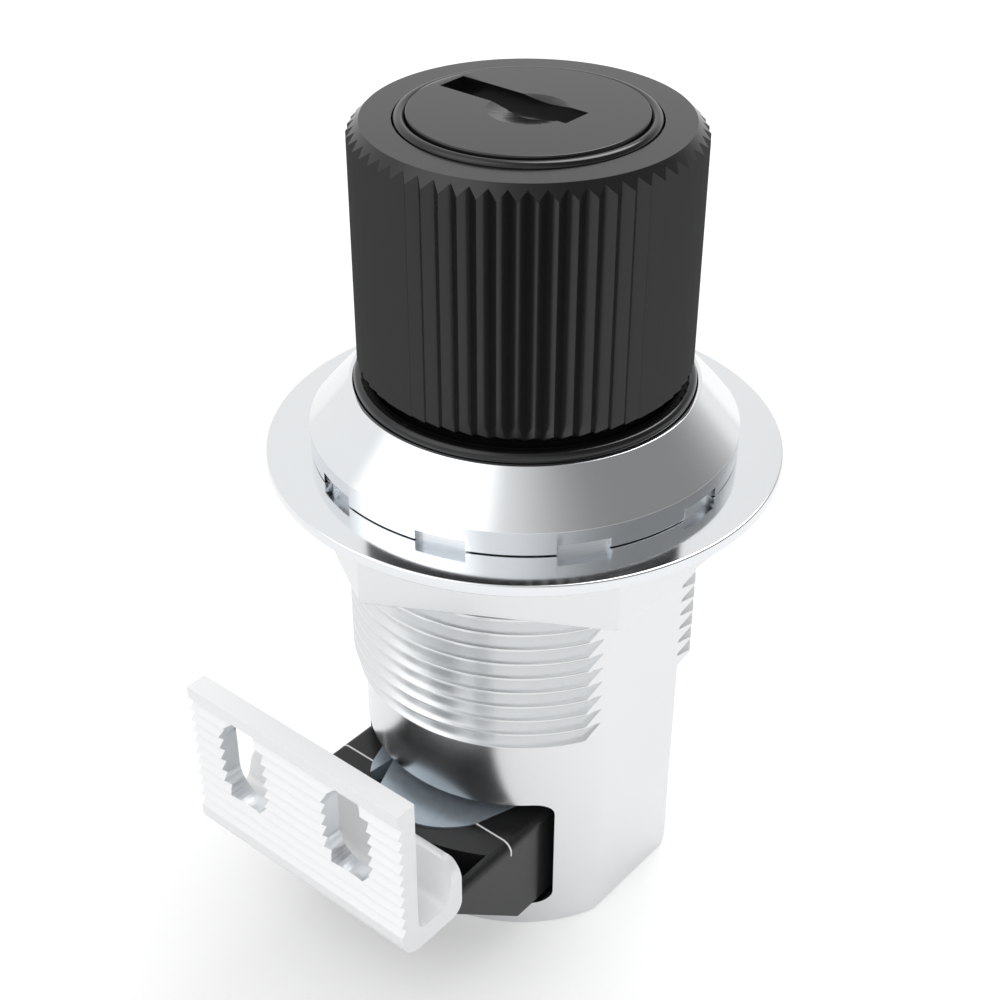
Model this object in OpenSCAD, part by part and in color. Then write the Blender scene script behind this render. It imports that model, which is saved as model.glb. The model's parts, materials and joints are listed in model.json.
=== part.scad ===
// Push-to-close touch latch with a fluted, key-locking knob and a serrated keeper.
// Frame: origin on the barrel's axis at the panel's face, under the bezel plate.
// +Z points out of the panel to the knob, and the bolt points to -Y.

/* [Barrel] */
// Outside diameter of the thread
thread_d = 28.6; // [28.2:0.1:30]
// Diameter of the plain barrel below the thread
barrel_d = 26.7; // [26.2:0.1:27.6]
// Distance across the two flats
flats_w = 24.7; // [24.2:0.1:25.6]
// Length of the barrel behind the panel's face
barrel_l = 40.2; // [38.8:0.1:56]
// Length of the thread behind the panel's face
thread_l = 17.9; // [12:0.1:20]
// Length of the cone that ends the thread
thread_lead = 1.5; // [0.8:0.1:2]
// Pitch of the thread
thread_pitch = 1.41; // [1.35:0.01:1.6]
// Diameter of the barrel's bore
bore_d = 21.6; // [21.4:0.1:22.4]
// Depth of the web's underside behind the panel's face
web_depth = 4; // [3:0.1:6]
// Diameter of the neck that carries the collar
neck_d = 24.8; // [24.6:0.1:25.6]
// Height of the neck in front of the panel's face
neck_h = 4.9; // [4.8:0.05:5]
// Depth of the hub's recess in the neck
recess_depth = 3.9; // [3.8:0.1:4.2]

/* [Window] */
// Width of the bolt's window
window_w = 20.8; // [19.8:0.1:21.4]
// Height of the window
window_h = 11.4; // [11.2:0.1:11.8]
// Space between the bolt's top and the window's top
window_up = 1.8; // [1.6:0.1:2]
// Corner radius of the window
window_r = 1.2; // [0.5:0.1:2]

/* [Bezel plate and collar] */
// Diameter of the bezel plate
bezel_d = 40.4; // [37:0.1:46]
// Thickness of the bezel plate
bezel_t = 0.9; // [0.6:0.1:1.2]
// How far the collar's foot stands out past the nut's flats
collar_over = 0.2; // [-0.4:0.1:1]
// Height of the collar's straight band
band_h = 2; // [1.2:0.1:2.6]
// Height of the collar above the bezel plate
collar_h = 5.5; // [5:0.1:6]
// Outside diameter of the collar's mouth
mouth_d = 27; // [26.8:0.1:28]
// Number of notches round the collar's foot
notch_count = 10; // [4:1:16]
// Width of a notch
notch_w = 3.9; // [2:0.1:5]
// Height of a notch
notch_h = 0.9; // [0.4:0.1:1.2]
// Depth of a notch into the foot
notch_depth = 0.8; // [0.4:0.1:1.6]

/* [Hex nut] */
// Distance across the nut's flats
nut_af = 33; // [31:0.5:36]
// Thickness of the nut
nut_t = 4.8; // [3:0.1:8]

/* [Knob] */
// Diameter over the flutes' crests
knob_d = 25.66; // [25:0.1:28]
// Height of the fluted grip
knob_h = 19.5; // [17:0.1:24]
// Number of flutes
flute_count = 60; // [36:1:72]
// Depth of a flute
flute_depth = 0.62; // [0.3:0.05:0.8]
// Radial chamfer at both ends of the flutes
knob_chamfer = 0.95; // [0.5:0.05:1.2]
// Running gap between the knob and the fixed pieces round it
knob_gap = 0.3; // [0.2:0.05:0.4]
// Width of the seal's section
seal_w = 1.15; // [0.9:0.05:1.2]
// Angle that the knob turns to open, in degrees
knob_turn = 60; // [45:1:75]

/* [Lock plug] */
// Diameter of the plug's head
plug_head_d = 19.1; // [18.4:0.1:19.4]
// Diameter of the plug's body
plug_body_d = 13; // [12:0.1:14]
// Length of the plug's body under its head
plug_body_l = 9.3; // [8:0.1:9.6]
// Thickness of the plug's head under its seal
plug_head_t = 2.55; // [2:0.05:3]
// Height of the plug's face above the knob's top
plug_rise = 0.3; // [0.1:0.05:0.5]
// Radius of the seal's round section
plug_seal_r = 0.7; // [0.5:0.05:0.8]
// Length of the keyway in the head
keyway_l = 11.6; // [9:0.1:12]
// Width of the keyway
keyway_w = 2.6; // [1.8:0.1:3]
// Sideways shift of the keyway's middle along its length
keyway_dx = -2.1; // [-2.4:0.1:0]
// Sideways shift of the keyway's middle across its length
keyway_dy = 0.8; // [0:0.1:1.2]
// Diameter of the dimple in the plug's face
dimple_d = 3.8; // [2:0.1:5]
// Depth of the dimple
dimple_depth = 1; // [0.4:0.1:1.4]
// Angle that the key turns, in degrees
key_turn = 90; // [60:5:90]

/* [Locking slide] */
// Width of the locking dog
dog_w = 5; // [4:0.1:6]
// Thickness of the locking dog
dog_t = 1.55; // [1.3:0.05:1.6]
// Distance of the crank pin from the plug's axis
dog_crank_r = 1; // [0.8:0.05:1.1]
// Radius of the crank pin
dog_pin_r = 0.7; // [0.5:0.05:0.8]

/* [Spindle] */
// Diameter of the spindle
spindle_d = 8; // [7:0.1:8.6]
// Thickness of the spindle's flange
spindle_flange_t = 1.2; // [1:0.1:1.2]
// Side of the spindle's square end
square_w = 4.4; // [4:0.1:4.6]
// Wall of the spindle's bush
bush_wall = 1.45; // [1:0.05:2]
// Thickness of the bush's flange
bush_flange_t = 0.6; // [0.5:0.05:0.8]
// Radial running clearance of turning pieces
running = 0.05; // [0.02:0.01:0.08]
// Diameter of the drive disc
disc_d = 18; // [16:0.1:19]
// Thickness of the drive disc
disc_t = 3; // [2.5:0.1:3.5]
// Radius of the drive pin
drive_pin_r = 1.4; // [1.2:0.05:1.5]
// Space between the bolt's top and the drive disc
disc_space = 2.3; // [2.1:0.1:2.8]

/* [Bolt] */
// Width of the bolt
bolt_w = 19; // [17.6:0.1:19.4]
// Height of the bolt
bolt_h = 9.1; // [8.9:0.1:9.2]
// Height of the bolt's top above the barrel's end
bolt_up = 12; // [11.9:0.1:12.5]
// Reach of the bolt's nose from the barrel's axis
bolt_reach = 21.4; // [20.8:0.1:22]
// Travel of the bolt
bolt_stroke = 5; // [4:0.1:5.5]
// Slope of the nose's underside, in degrees
nose_angle = 41.4; // [38:0.1:46]
// Height of the blunt tip of the nose
nose_tip = 0.5; // [0.3:0.05:0.8]
// Fall of the nose's top from the witness line to the tip
nose_fall = 0.25; // [0:0.05:0.3]
// Distance of the witness line from the barrel's axis
line_y = 12.86; // [12:0.1:14]
// Radius of the long top edges
bolt_edge_r = 0.9; // [0.4:0.1:1.2]
// Thickness of the cheeks beside the nose's recess
cheek_t = 0.85; // [0.6:0.05:1.4]
// Radius, about the barrel's axis, where the nose's recess begins
nose_recess_r = 17.3; // [16.8:0.1:18]
// Thickness of the floor under the nose's recess
nose_floor = 1.8; // [1.2:0.1:2.4]

/* [Bolt plate] */
// Thickness of the metal plate in the bolt's top
plate_t = 1.6; // [1.2:0.1:1.7]
// Height of the plate's face above the bolt's top
plate_proud = 0.1; // [0:0.05:0.2]
// Radius of the plate's round nose
plate_nose_r = 6.52; // [6:0.1:7]
// Distance of the round nose's centre from the barrel's axis
plate_nose_y = 9.85; // [9:0.1:10.4]
// Width of the plate inside the barrel
plate_w = 16; // [15:0.1:16.6]

/* [Bolt springs] */
// Distance of each spring from the barrel's middle plane
spring_x = 4.9; // [4.6:0.1:5]
// Outside diameter of a spring
spring_d = 4; // [3.6:0.1:4]
// Wire diameter of a spring
spring_wire = 0.4; // [0.35:0.05:0.6]
// Turns of a spring
spring_turns = 11; // [8:1:12]

/* [End cap] */
// Thickness of the end cap's disc
cap_t = 1.5; // [1.2:0.1:1.8]
// Thickness of the snap rings
snap_t = 0.7; // [0.5:0.05:0.8]
// Depth of the snap ring's groove
snap_depth = 0.6; // [0.4:0.05:0.7]

/* [Keeper] */
// Length of the keeper
keeper_l = 21.9; // [20:0.1:26]
// Thickness of the keeper's sheet
keeper_t = 1.8; // [1.5:0.1:2]
// Height of the keeper
keeper_h = 14.85; // [14:0.1:18]
// Overlap of the bolt's nose and the keeper's hook
engagement = 0.85; // [0.5:0.05:1]
// Width of the keeper over its hook
keeper_hook_w = 6.7; // [6.4:0.1:6.9]
// Height of the hook's short leg
hook_h = 5.45; // [4:0.1:6.5]
// Corner radius of the hook's short leg
hook_r = 2; // [1:0.1:3]
// Width of a fixing slot
slot_w = 4.7; // [4.3:0.1:5.2]
// Height of a fixing slot
slot_h = 8.1; // [6:0.1:8.6]
// Distance between the fixing slots
slot_spacing = 10.95; // [10:0.05:12]
// Depth of the slots' top below the keeper's top
slot_drop = 1.45; // [1.2:0.05:2.5]
// Number of serrations
tooth_count = 10; // [6:1:11]
// Pitch of the serrations
tooth_pitch = 1.12; // [0.9:0.02:1.14]
// Depth of a serration
tooth_depth = 0.27; // [0.15:0.01:0.4]

/* [Hidden] */
$fn = 96;

// Overrun of a cut past the face that it opens
cut = 1;
// Room that a pressed or screwed piece leaves at the end of its seat
tiny = 0.05;
// Gap between pieces that are seated in each other
seat = 0.02;
// Gap between flat faces that slide or turn on each other
slide = 0.1;

// Heights above the panel's face
bezel_top = bezel_t;
mouth_z = bezel_t + collar_h;
shelf_z = neck_h + 2 * slide;
recess_z = neck_h - recess_depth;
bush_top = recess_z + bush_flange_t;
flange_z0 = bush_top + slide;
hub_z0 = flange_z0 + spindle_flange_t;
hub_step_z = neck_h + knob_gap;
seal_top = mouth_z + 0.7;
knob_z0 = seal_top + knob_gap;
knob_top = knob_z0 + knob_h;

// Radii round the knob's hub
recess_r = 11;
hub_r = recess_r - knob_gap;
shelf_r = mouth_d / 2 - 0.3;
collar_bore_r = neck_d / 2 + 0.05;
seal_out_r = shelf_r - 0.05;
seal_in_r = seal_out_r - seal_w;
hub_top_r = seal_in_r - knob_gap;

// Lock plug, from its face down
plug_face_z = knob_top + plug_rise;
plug_shoulder_z = knob_top - 2 * plug_seal_r + 0.5;
plug_head_z0 = plug_shoulder_z - plug_head_t;
plug_body_z0 = plug_head_z0 - plug_body_l;
plug_neck_r = plug_head_d / 2 - 2 * plug_seal_r;
plug_tail_r = 2.2;
web_z0 = plug_body_z0 - 2.1;
clip_groove_depth = 0.35;
clip_bore_r = 4.6;
keyway_z0 = plug_body_z0 + 2;

// Locking dog
dog_z0 = hub_z0 + slide;
dog_top = dog_z0 + dog_t;
dog_rest_r = hub_r - 0.15;
dog_back = 2.6;
crank_start = 180 + key_turn / 2;
crank_y = dog_crank_r * sin(crank_start);
dog_side_gap = 0.1;

// Drive under the web
bolt_top = -barrel_l + bolt_up;
bolt_z0 = bolt_top - bolt_h;
disc_z0 = bolt_top + disc_space;
disc_top = disc_z0 + disc_t;
disc_screw_r = 1.25;
disc_screw_l = 5;
disc_screw_head_r = 2.7;
disc_screw_head_h = 1.3;
disc_screw_edge = 0.3;
disc_screw_socket_r = 1.1;
disc_screw_socket = 0.8;
pin_orbit = bolt_stroke / (2 * sin(knob_turn / 2));
pin_start = 180 + knob_turn / 2;
pin_y = pin_orbit * sin(pin_start);
pin_x_far = pin_orbit;
pin_x_near = pin_orbit * cos(knob_turn / 2);
screw_orbit = 7.5;
screw_r = 1;
screw_head_r = 1.9;

// Bolt
bolt_rear = 1.2;
bore_r = bore_d / 2;
rear_r = bore_r - 0.4;
tip_top = bolt_top - nose_fall;
tip_z0 = tip_top - nose_tip;
slope_len = (tip_z0 - bolt_z0) / tan(nose_angle);
line_w = 0.25;
line_deep = 0.12;
plate_top = bolt_top + plate_proud;
plate_z0 = plate_top - plate_t;
plate_rear = 0.6;
drive_clear = 0.15;
drive_z0 = plate_z0 + 0.2;
slot_back = pin_y + drive_pin_r + drive_clear;
slot_front = pin_y - drive_pin_r - drive_clear - bolt_stroke;
slot_x0 = -pin_x_far - drive_pin_r - 0.2;
slot_x1 = -pin_x_near + drive_pin_r + 0.2;
rivet_x = 0.6;
rivet_y = [-9.4, -1.6];
rivet_r = 0.8;
rivet_head_r = 1.4;

// End cap and springs
cap_top = bolt_z0 - slide;
cap_z0 = cap_top - cap_t;
cap_r = bore_r - 0.1;
snap_z0 = cap_z0 - tiny - snap_t;
seat_wall = 2.8;
seat_y = bore_r - seat_wall;
seat_top = plate_z0 - 0.1;
rail_half = 2.6;
rail_stem_half = 1.6;
rail_step = 1;
rail_front = -5.5;
rail_gap = 0.15;
spring_drop = 2.9;
spring_pocket = 11.6;
spring_z = plate_z0 - spring_drop;
spring_front = bolt_rear - spring_pocket;
spring_bore_r = spring_d / 2 + 0.2;
spigot_l = 2;
spigot_r = spring_d / 2 - spring_wire - 0.3;

// Window
window_top = bolt_top + window_up;
window_z0 = window_top - window_h;

// Keeper
keeper_z0 = tip_top + 0.2;
keeper_top = keeper_z0 + keeper_h;
bend_r = 2;
heel_r = 1.2;
hook_y = bolt_reach - engagement;
keeper_y = hook_y + keeper_hook_w;
hook_base = 1.5;
hook_tip = 0.8;
tooth_first = 1.1;
tooth_return = 0.35;

// Points on an arc about a centre, from angle a0 to a1
function arc(c, r, a0, a1, n) =
    [for (i = [0:n]) c + r * [cos(a0 + (a1 - a0) * i / n), sin(a0 + (a1 - a0) * i / n)]];

// Rectangle with round corners, from its low corner to its high corner
function rounded(lo, hi, r) = concat(
    arc([hi[0] - r, hi[1] - r], r, 0, 90, 6),
    arc([lo[0] + r, hi[1] - r], r, 90, 180, 6),
    arc([lo[0] + r, lo[1] + r], r, 180, 270, 6),
    arc([hi[0] - r, lo[1] + r], r, 270, 360, 6)
);

// Upright slot with round ends, centred on x, between two heights
function slot_points(x, z0, z1, w) = concat(
    arc([x, z1 - w / 2], w / 2, 0, 180, 12),
    arc([x, z0 + w / 2], w / 2, 180, 360, 12)
);

// Solid from a height-by-X outline, between two values of Y
module along_y(y0, y1, points) {
    translate([0, y1, 0])
        rotate([90, 0, 0])
            linear_extrude(height = y1 - y0)
                polygon(points);
}

// Solid from a Y-by-height outline, between two values of X
module along_x(x0, x1, points) {
    translate([x0, 0, 0])
        rotate([90, 0, 90])
            linear_extrude(height = x1 - x0)
                polygon(points);
}

// Solid from an X-by-Y outline, between two heights
module upright(z0, z1, points) {
    translate([0, 0, z0])
        linear_extrude(height = z1 - z0)
            polygon(points);
}

module block(lo, hi) {
    translate(lo)
        cube(hi - lo);
}

module rod(r, z0, z1, x = 0, y = 0) {
    translate([x, y, z0])
        cylinder(r = r, h = z1 - z0);
}

module turned(points) {
    rotate_extrude()
        polygon(points);
}

module rod_y(r, y0, y1, x, z) {
    translate([x, y1, z])
        rotate([90, 0, 0])
            cylinder(r = r, h = y1 - y0);
}

// Open ring, flat, with its gap towards +X
module snap_ring(r0, r1, z0, z1, gap) {
    difference() {
        rod(r1, z0, z1);
        rod(r0, z0 - cut, z1 + cut);
        block([0, -gap / 2, z0 - cut], [r1 + cut, gap / 2, z1 + cut]);
    }
}

// Countersunk screw or rivet, head down if flip is true
module countersunk(r, head_r, z_head, z_end) {
    cone = head_r - r;
    s = z_end > z_head ? 1 : -1;
    translate([0, 0, z_head])
        mirror([0, 0, s > 0 ? 0 : 1])
            turned([
                [0, 0], [head_r, 0], [head_r, 0.15], [r, cone + 0.15],
                [r, abs(z_end - z_head)], [0, abs(z_end - z_head)]
            ]);
}

// Comb that cuts the thread's grooves. The flats part the thread into two sides, and the right-hand
// helix is stood for by half rings, half a pitch lower on the side away from the bolt.
module thread_grooves() {
    out_r = thread_d / 2 + 0.1;
    spine_r = out_r + 1;
    mouth = 7 / 16 * thread_pitch;
    root = 0.085 * thread_pitch;
    deep = (mouth - root) / tan(30);
    wide = mouth + (out_r - thread_d / 2) * tan(30);
    root_r = thread_d / 2 - deep;
    groove = [[out_r, wide], [root_r, root], [root_r, -root], [out_r, -wide]];
    last = floor(thread_l / thread_pitch);
    for (side = [0, 1]) {
        shift = thread_pitch * (1 - side / 2);
        low = -thread_pitch * last - shift - wide;
        rotate([0, 0, 180 * side])
            intersection() {
                turned(concat(
                    [[spine_r, low], [spine_r, wide - shift]],
                    [
                        for (i = [0:last], p = groove)
                            [p[0], p[1] - thread_pitch * i - shift]
                    ]
                ));
                block([-thread_d, 0, low], [thread_d, thread_d, 0]);
            }
    }
}

// Threaded barrel with its flats, neck, bore and window
module barrel() {
    lead_z = -thread_l - thread_lead;
    groove_r = bore_r + snap_depth;
    color("silver")
    difference() {
        intersection() {
            turned([
                [0, neck_h], [neck_d / 2, neck_h], [neck_d / 2, 0], [thread_d / 2, 0],
                [thread_d / 2, -thread_l], [barrel_d / 2, lead_z], [barrel_d / 2, -barrel_l],
                [0, -barrel_l]
            ]);
            union() {
                block([-flats_w / 2, -thread_d, -barrel_l - cut], [flats_w / 2, thread_d, 0]);
                rod(neck_d, -0.001, neck_h + cut);
            }
        }
        thread_grooves();
        rod(bore_r, -barrel_l - cut, -web_depth);
        rod(recess_r, recess_z, neck_h + cut);
        rod(spindle_d / 2 + running + bush_wall + seat, -web_depth - cut, recess_z + cut);
        rod(groove_r, snap_z0 - 0.05, cap_z0);
        along_y(-thread_d, -bore_r / 4, rounded(
            [-window_w / 2, window_z0], [window_w / 2, window_top], window_r));
        for (turn = [0, -knob_turn])
            rotate([0, 0, turn])
                block(
                    [-dog_w / 2 - dog_side_gap, hub_r - cut, dog_z0 - slide],
                    [dog_w / 2 + dog_side_gap, neck_d, neck_h + cut]
                );
    }
}

// Thin disc that covers the hole in the panel
module bezel_plate() {
    rim = 0.2;
    bore = neck_d / 2 + 0.1;
    color("gainsboro")
        turned([
            [bore, 0], [bezel_d / 2 - rim / 2, 0], [bezel_d / 2, rim / 2],
            [bezel_d / 2, bezel_t - rim], [bezel_d / 2 - rim, bezel_t], [bore, bezel_t]
        ]);
}

// Conical collar, screwed on the neck and tightened by the notches in its foot
module collar() {
    foot_r = nut_af / 2 + collar_over;
    color("gainsboro")
    difference() {
        turned([
            [collar_bore_r, bezel_top], [foot_r, bezel_top], [foot_r, bezel_top + band_h],
            [mouth_d / 2, mouth_z], [shelf_r, mouth_z], [shelf_r, shelf_z],
            [collar_bore_r, shelf_z]
        ]);
        for (i = [0:notch_count - 1])
            rotate([0, 0, i * 360 / notch_count])
                block(
                    [foot_r - notch_depth, -notch_w / 2, bezel_top - cut],
                    [foot_r + cut, notch_w / 2, bezel_top + notch_h]
                );
    }
}

// Panel nut on the barrel's thread
module hex_nut() {
    color("silver")
    difference() {
        translate([0, 0, -nut_t])
            rotate([0, 0, 30])
                cylinder(d = nut_af / cos(30), h = nut_t, $fn = 6);
        rod(thread_d / 2 + seat, -nut_t - cut, cut);
    }
}

// Rubber ring in the collar's mouth, under the knob's skirt
module knob_seal() {
    round_r = 0.4;
    color([0.05, 0.05, 0.06])
        turned(concat(
            [[seal_in_r, shelf_z], [seal_out_r, shelf_z]],
            arc([seal_out_r - round_r, seal_top - round_r], round_r, 0, 90, 6),
            arc([seal_in_r + round_r / 2, seal_top - round_r / 2], round_r / 2, 90, 180, 4)
        ));
}

// Flanged bush in the web, which carries the spindle
module spindle_bush() {
    r = spindle_d / 2 + running;
    color("ivory")
        turned([
            [r, -web_depth], [r + bush_wall, -web_depth], [r + bush_wall, recess_z],
            [2 * r, recess_z], [2 * r, bush_top], [r, bush_top]
        ]);
}

// Outline of the bolt's rail, a T that holds the bolt down
function rail_points(grow) = [
    [-rail_stem_half - grow, cap_top - 0.2 - grow], [rail_stem_half + grow, cap_top - 0.2 - grow],
    [rail_stem_half + grow, cap_top + rail_step - grow], [rail_half + grow, cap_top + rail_step - grow],
    [rail_half + grow, cap_top + 2 * rail_step + grow], [-rail_half - grow, cap_top + 2 * rail_step + grow],
    [-rail_half - grow, cap_top + rail_step - grow], [-rail_stem_half - grow, cap_top + rail_step - grow]
];

// Cap in the barrel's end, with the bolt's rail and the springs' seats
module end_cap() {
    color([0.16, 0.16, 0.17]) {
        difference() {
            rod(cap_r, cap_z0, seat_top);
            block([-bore_r, -bore_r, cap_top], [bore_r, seat_y, seat_top + cut]);
        }
        along_y(rail_front, seat_y, rail_points(0));
        for (side = [-1, 1])
            rod_y(spigot_r, seat_y - spigot_l, seat_y, side * spring_x, spring_z);
    }
}

// Snap ring under the end cap
module end_cap_ring() {
    color("dimgray")
        snap_ring(bore_r - 0.7, bore_r + snap_depth - 0.05, snap_z0, snap_z0 + snap_t, 6);
}

// Serrated J-section strike with two upright slots
module keeper() {
    half = keeper_l / 2;
    outer = -keeper_y;
    inner = outer + keeper_t;
    floor_z = keeper_z0 + keeper_t;
    hook_top = keeper_z0 + hook_h;
    teeth = [
        for (i = [0:tooth_count - 1])
            each [
                [outer, keeper_top - tooth_first - i * tooth_pitch],
                [outer + tooth_depth, keeper_top - tooth_first - tooth_return - i * tooth_pitch]
            ]
    ];
    profile = concat(
        [[inner, keeper_top], [outer, keeper_top]],
        teeth,
        [[outer, keeper_top - tooth_first - tooth_count * tooth_pitch]],
        arc([outer + bend_r, keeper_z0 + bend_r], bend_r, 180, 270, 8),
        arc([-hook_y - heel_r, keeper_z0 + heel_r], heel_r, 270, 360, 8),
        [[-hook_y, hook_top - hook_tip / 2]],
        arc([-hook_y - hook_tip / 2, hook_top - hook_tip / 2], hook_tip / 2, 0, 180, 8),
        arc([-hook_y - hook_base - 0.9, floor_z + 0.9], 0.9, -12, -90, 6),
        arc([inner + 1, floor_z + 1], 1, 270, 180, 6)
    );
    color("gainsboro")
    difference() {
        along_x(-half, half, profile);
        for (side = [-1, 1]) {
            along_y(outer - cut, inner + cut, slot_points(
                side * slot_spacing / 2, keeper_top - slot_drop - slot_h,
                keeper_top - slot_drop, slot_w));
            along_y(inner + 1.2, -hook_y + cut, concat(
                [[side * (half + cut), hook_top + cut], [side * (half - hook_r), hook_top + cut]],
                arc([side * (half - hook_r), hook_top - hook_r], hook_r, 90, 90 - side * 90, 8),
                [[side * (half + cut), hook_top - hook_r]]));
        }
    }
}

// Outline of the knob's flutes
function flutes() = [
    for (i = [0:flute_count - 1])
        each [
            knob_d / 2 * [cos(i * 360 / flute_count), sin(i * 360 / flute_count)],
            (knob_d / 2 - flute_depth)
                * [cos((i + 0.5) * 360 / flute_count), sin((i + 0.5) * 360 / flute_count)]
        ]
];

// Fluted knob with its hub, the plug's bore and the dog's slot
module knob() {
    crest = knob_d / 2;
    over = 0.4;
    color([0.13, 0.13, 0.135])
    difference() {
        union() {
            intersection() {
                upright(knob_z0, knob_top, flutes());
                turned([
                    [0, knob_z0], [crest - knob_chamfer, knob_z0],
                    [crest + over, knob_z0 + knob_chamfer + over],
                    [crest + over, knob_top - knob_chamfer - over],
                    [crest - knob_chamfer, knob_top], [0, knob_top]
                ]);
            }
            rod(hub_top_r, hub_step_z, knob_z0 + cut);
            rod(hub_r, hub_z0, knob_z0 + cut);
        }
        rod(plug_head_d / 2 + running, plug_head_z0 - running, knob_top + cut);
        rod(plug_body_d / 2 + running, plug_body_z0 - slide, knob_top);
        rod(plug_tail_r + 0.15, web_z0 - cut, knob_top);
        rod(clip_bore_r, hub_z0 - cut, web_z0);
        block(
            [-dog_w / 2 - dog_side_gap, -dog_back - 1.6, hub_z0 - cut],
            [dog_w / 2 + dog_side_gap, hub_r + cut, dog_top + slide]
        );
        for (i = [0:3])
            rotate([0, 0, 45 + 90 * i])
                rod(screw_r, hub_z0 - cut, hub_z0 + 4.2, screw_orbit);
    }
}

// Spindle with a flange under the knob's hub and a square lower end
module spindle() {
    r = spindle_d / 2;
    clip_z = -web_depth - 0.1;
    color("lightgray")
    difference() {
        union() {
            rod(hub_r - 0.5, flange_z0, hub_z0);
            rod(r, disc_top, flange_z0 + 0.1);
            block([-square_w / 2, -square_w / 2, disc_z0], [square_w / 2, square_w / 2, disc_top + 0.1]);
        }
        difference() {
            rod(r + cut, clip_z - snap_t - 0.1, clip_z);
            rod(r - 0.5, clip_z - snap_t - 0.2, clip_z + 0.1);
        }
        rod(disc_screw_r, disc_z0 - cut, disc_z0 + disc_screw_l + 10 * tiny);
        for (i = [0:3])
            rotate([0, 0, 45 + 90 * i])
                translate([screw_orbit, 0, 0])
                    countersunk(screw_r + seat, screw_head_r + seat, flange_z0 - 0.001, hub_z0 + cut);
    }
}

// Snap ring that holds the spindle under the web
module spindle_clip() {
    clip_z = -web_depth - 0.15;
    color("dimgray")
        snap_ring(spindle_d / 2 - 0.48, spindle_d / 2 + 2, clip_z - snap_t, clip_z, 5);
}

// One of the screws that hold the spindle's flange to the hub
module hub_screw(i) {
    color("dimgray")
        rotate([0, 0, 45 + 90 * i])
            translate([screw_orbit, 0, 0])
                countersunk(screw_r - seat, screw_head_r - seat, flange_z0 + seat, hub_z0 + 3.8);
}

// Crank disc on the spindle's square end
module drive_disc() {
    fit = square_w / 2 + seat;
    color("lightgray")
    difference() {
        rod(disc_d / 2, disc_z0, disc_top);
        block([-fit, -fit, disc_z0 - cut], [fit, fit, disc_top + cut]);
        rotate([0, 0, pin_start])
            rod(drive_pin_r + seat, disc_z0 - cut, disc_top + cut, pin_orbit);
    }
}

// Steel pin that pulls the bolt plate back
module drive_pin() {
    edge = 0.3;
    color("dimgray")
        rotate([0, 0, pin_start])
            translate([pin_orbit, 0, 0])
                turned([
                    [0, drive_z0], [drive_pin_r - edge, drive_z0], [drive_pin_r, drive_z0 + edge],
                    [drive_pin_r, disc_top], [0, disc_top]
                ]);
}

// Screw that holds the disc on the spindle
module disc_screw() {
    head_z = disc_z0 - disc_screw_head_h;
    r = disc_screw_r - seat;
    color("dimgray")
    difference() {
        turned([
            [0, head_z], [disc_screw_head_r - disc_screw_edge, head_z],
            [disc_screw_head_r, head_z + disc_screw_edge], [disc_screw_head_r, disc_z0],
            [r, disc_z0], [r, disc_z0 + disc_screw_l], [0, disc_z0 + disc_screw_l]
        ]);
        translate([0, 0, head_z - cut])
            cylinder(r = disc_screw_socket_r, h = cut + disc_screw_socket, $fn = 6);
    }
}

// Lock plug with its keyway, dimple, tail and crank pin
module lock_plug() {
    head_r = plug_head_d / 2;
    body_r = plug_body_d / 2;
    edge = 0.15;
    color([0.12, 0.12, 0.125])
    difference() {
        union() {
            turned([
                [0, dog_top + slide], [plug_tail_r, dog_top + slide], [plug_tail_r, plug_body_z0],
                [body_r, plug_body_z0], [body_r, plug_head_z0], [head_r, plug_head_z0],
                [head_r, plug_shoulder_z], [plug_neck_r, plug_shoulder_z],
                [plug_neck_r, plug_face_z - edge], [plug_neck_r - edge, plug_face_z], [0, plug_face_z]
            ]);
            rotate([0, 0, crank_start])
                rod(dog_pin_r, dog_z0 + slide, dog_top + 2 * slide, dog_crank_r);
        }
        intersection() {
            block(
                [keyway_dx - keyway_l / 2, keyway_dy - keyway_w / 2, plug_head_z0 + 0.6],
                [keyway_dx + keyway_l / 2, keyway_dy + keyway_w / 2, plug_face_z + cut]
            );
            rod(plug_neck_r - 0.25, plug_head_z0, plug_face_z + 2 * cut);
        }
        block(
            [-body_r + 1.4, keyway_dy - keyway_w / 2, keyway_z0],
            [keyway_dx + keyway_l / 2, keyway_dy + keyway_w / 2, plug_head_z0 + 1]
        );
        turned([[0, plug_face_z - dimple_depth], [dimple_d / 2, plug_face_z], [0, plug_face_z + cut]]);
        difference() {
            rod(plug_tail_r + cut, web_z0 - snap_t - 0.15, web_z0 - 0.05);
            rod(plug_tail_r - clip_groove_depth, web_z0 - snap_t - 0.2, web_z0);
        }
    }
}

// Round rubber ring about the plug's face
module plug_seal() {
    color([0.04, 0.04, 0.045])
        translate([0, 0, plug_shoulder_z + plug_seal_r + seat])
            rotate_extrude()
                translate([plug_head_d / 2 - plug_seal_r - seat, 0])
                    circle(r = plug_seal_r - seat, $fn = 48);
}

// Snap ring that holds the plug in the knob
module plug_clip() {
    color("dimgray")
        snap_ring(plug_tail_r - clip_groove_depth + seat, clip_bore_r - 0.4,
            web_z0 - snap_t - 0.1, web_z0 - 0.1, 3);
}

// Slide that the plug's crank pin pushes into the neck's notch
module lock_dog() {
    slot_half = dog_pin_r + dog_side_gap;
    color("lightgray")
    difference() {
        upright(dog_z0, dog_top, [
            [-dog_w / 2, -dog_back], [dog_w / 2, -dog_back], [dog_w / 2, dog_rest_r - 0.4],
            [dog_w / 2 - 0.4, dog_rest_r], [-dog_w / 2 + 0.4, dog_rest_r],
            [-dog_w / 2, dog_rest_r - 0.4]
        ]);
        block(
            [-dog_crank_r - slot_half, crank_y - slot_half, dog_z0 - cut],
            [dog_crank_r * cos(crank_start) + slot_half, crank_y + slot_half, dog_top + cut]
        );
    }
}

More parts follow.
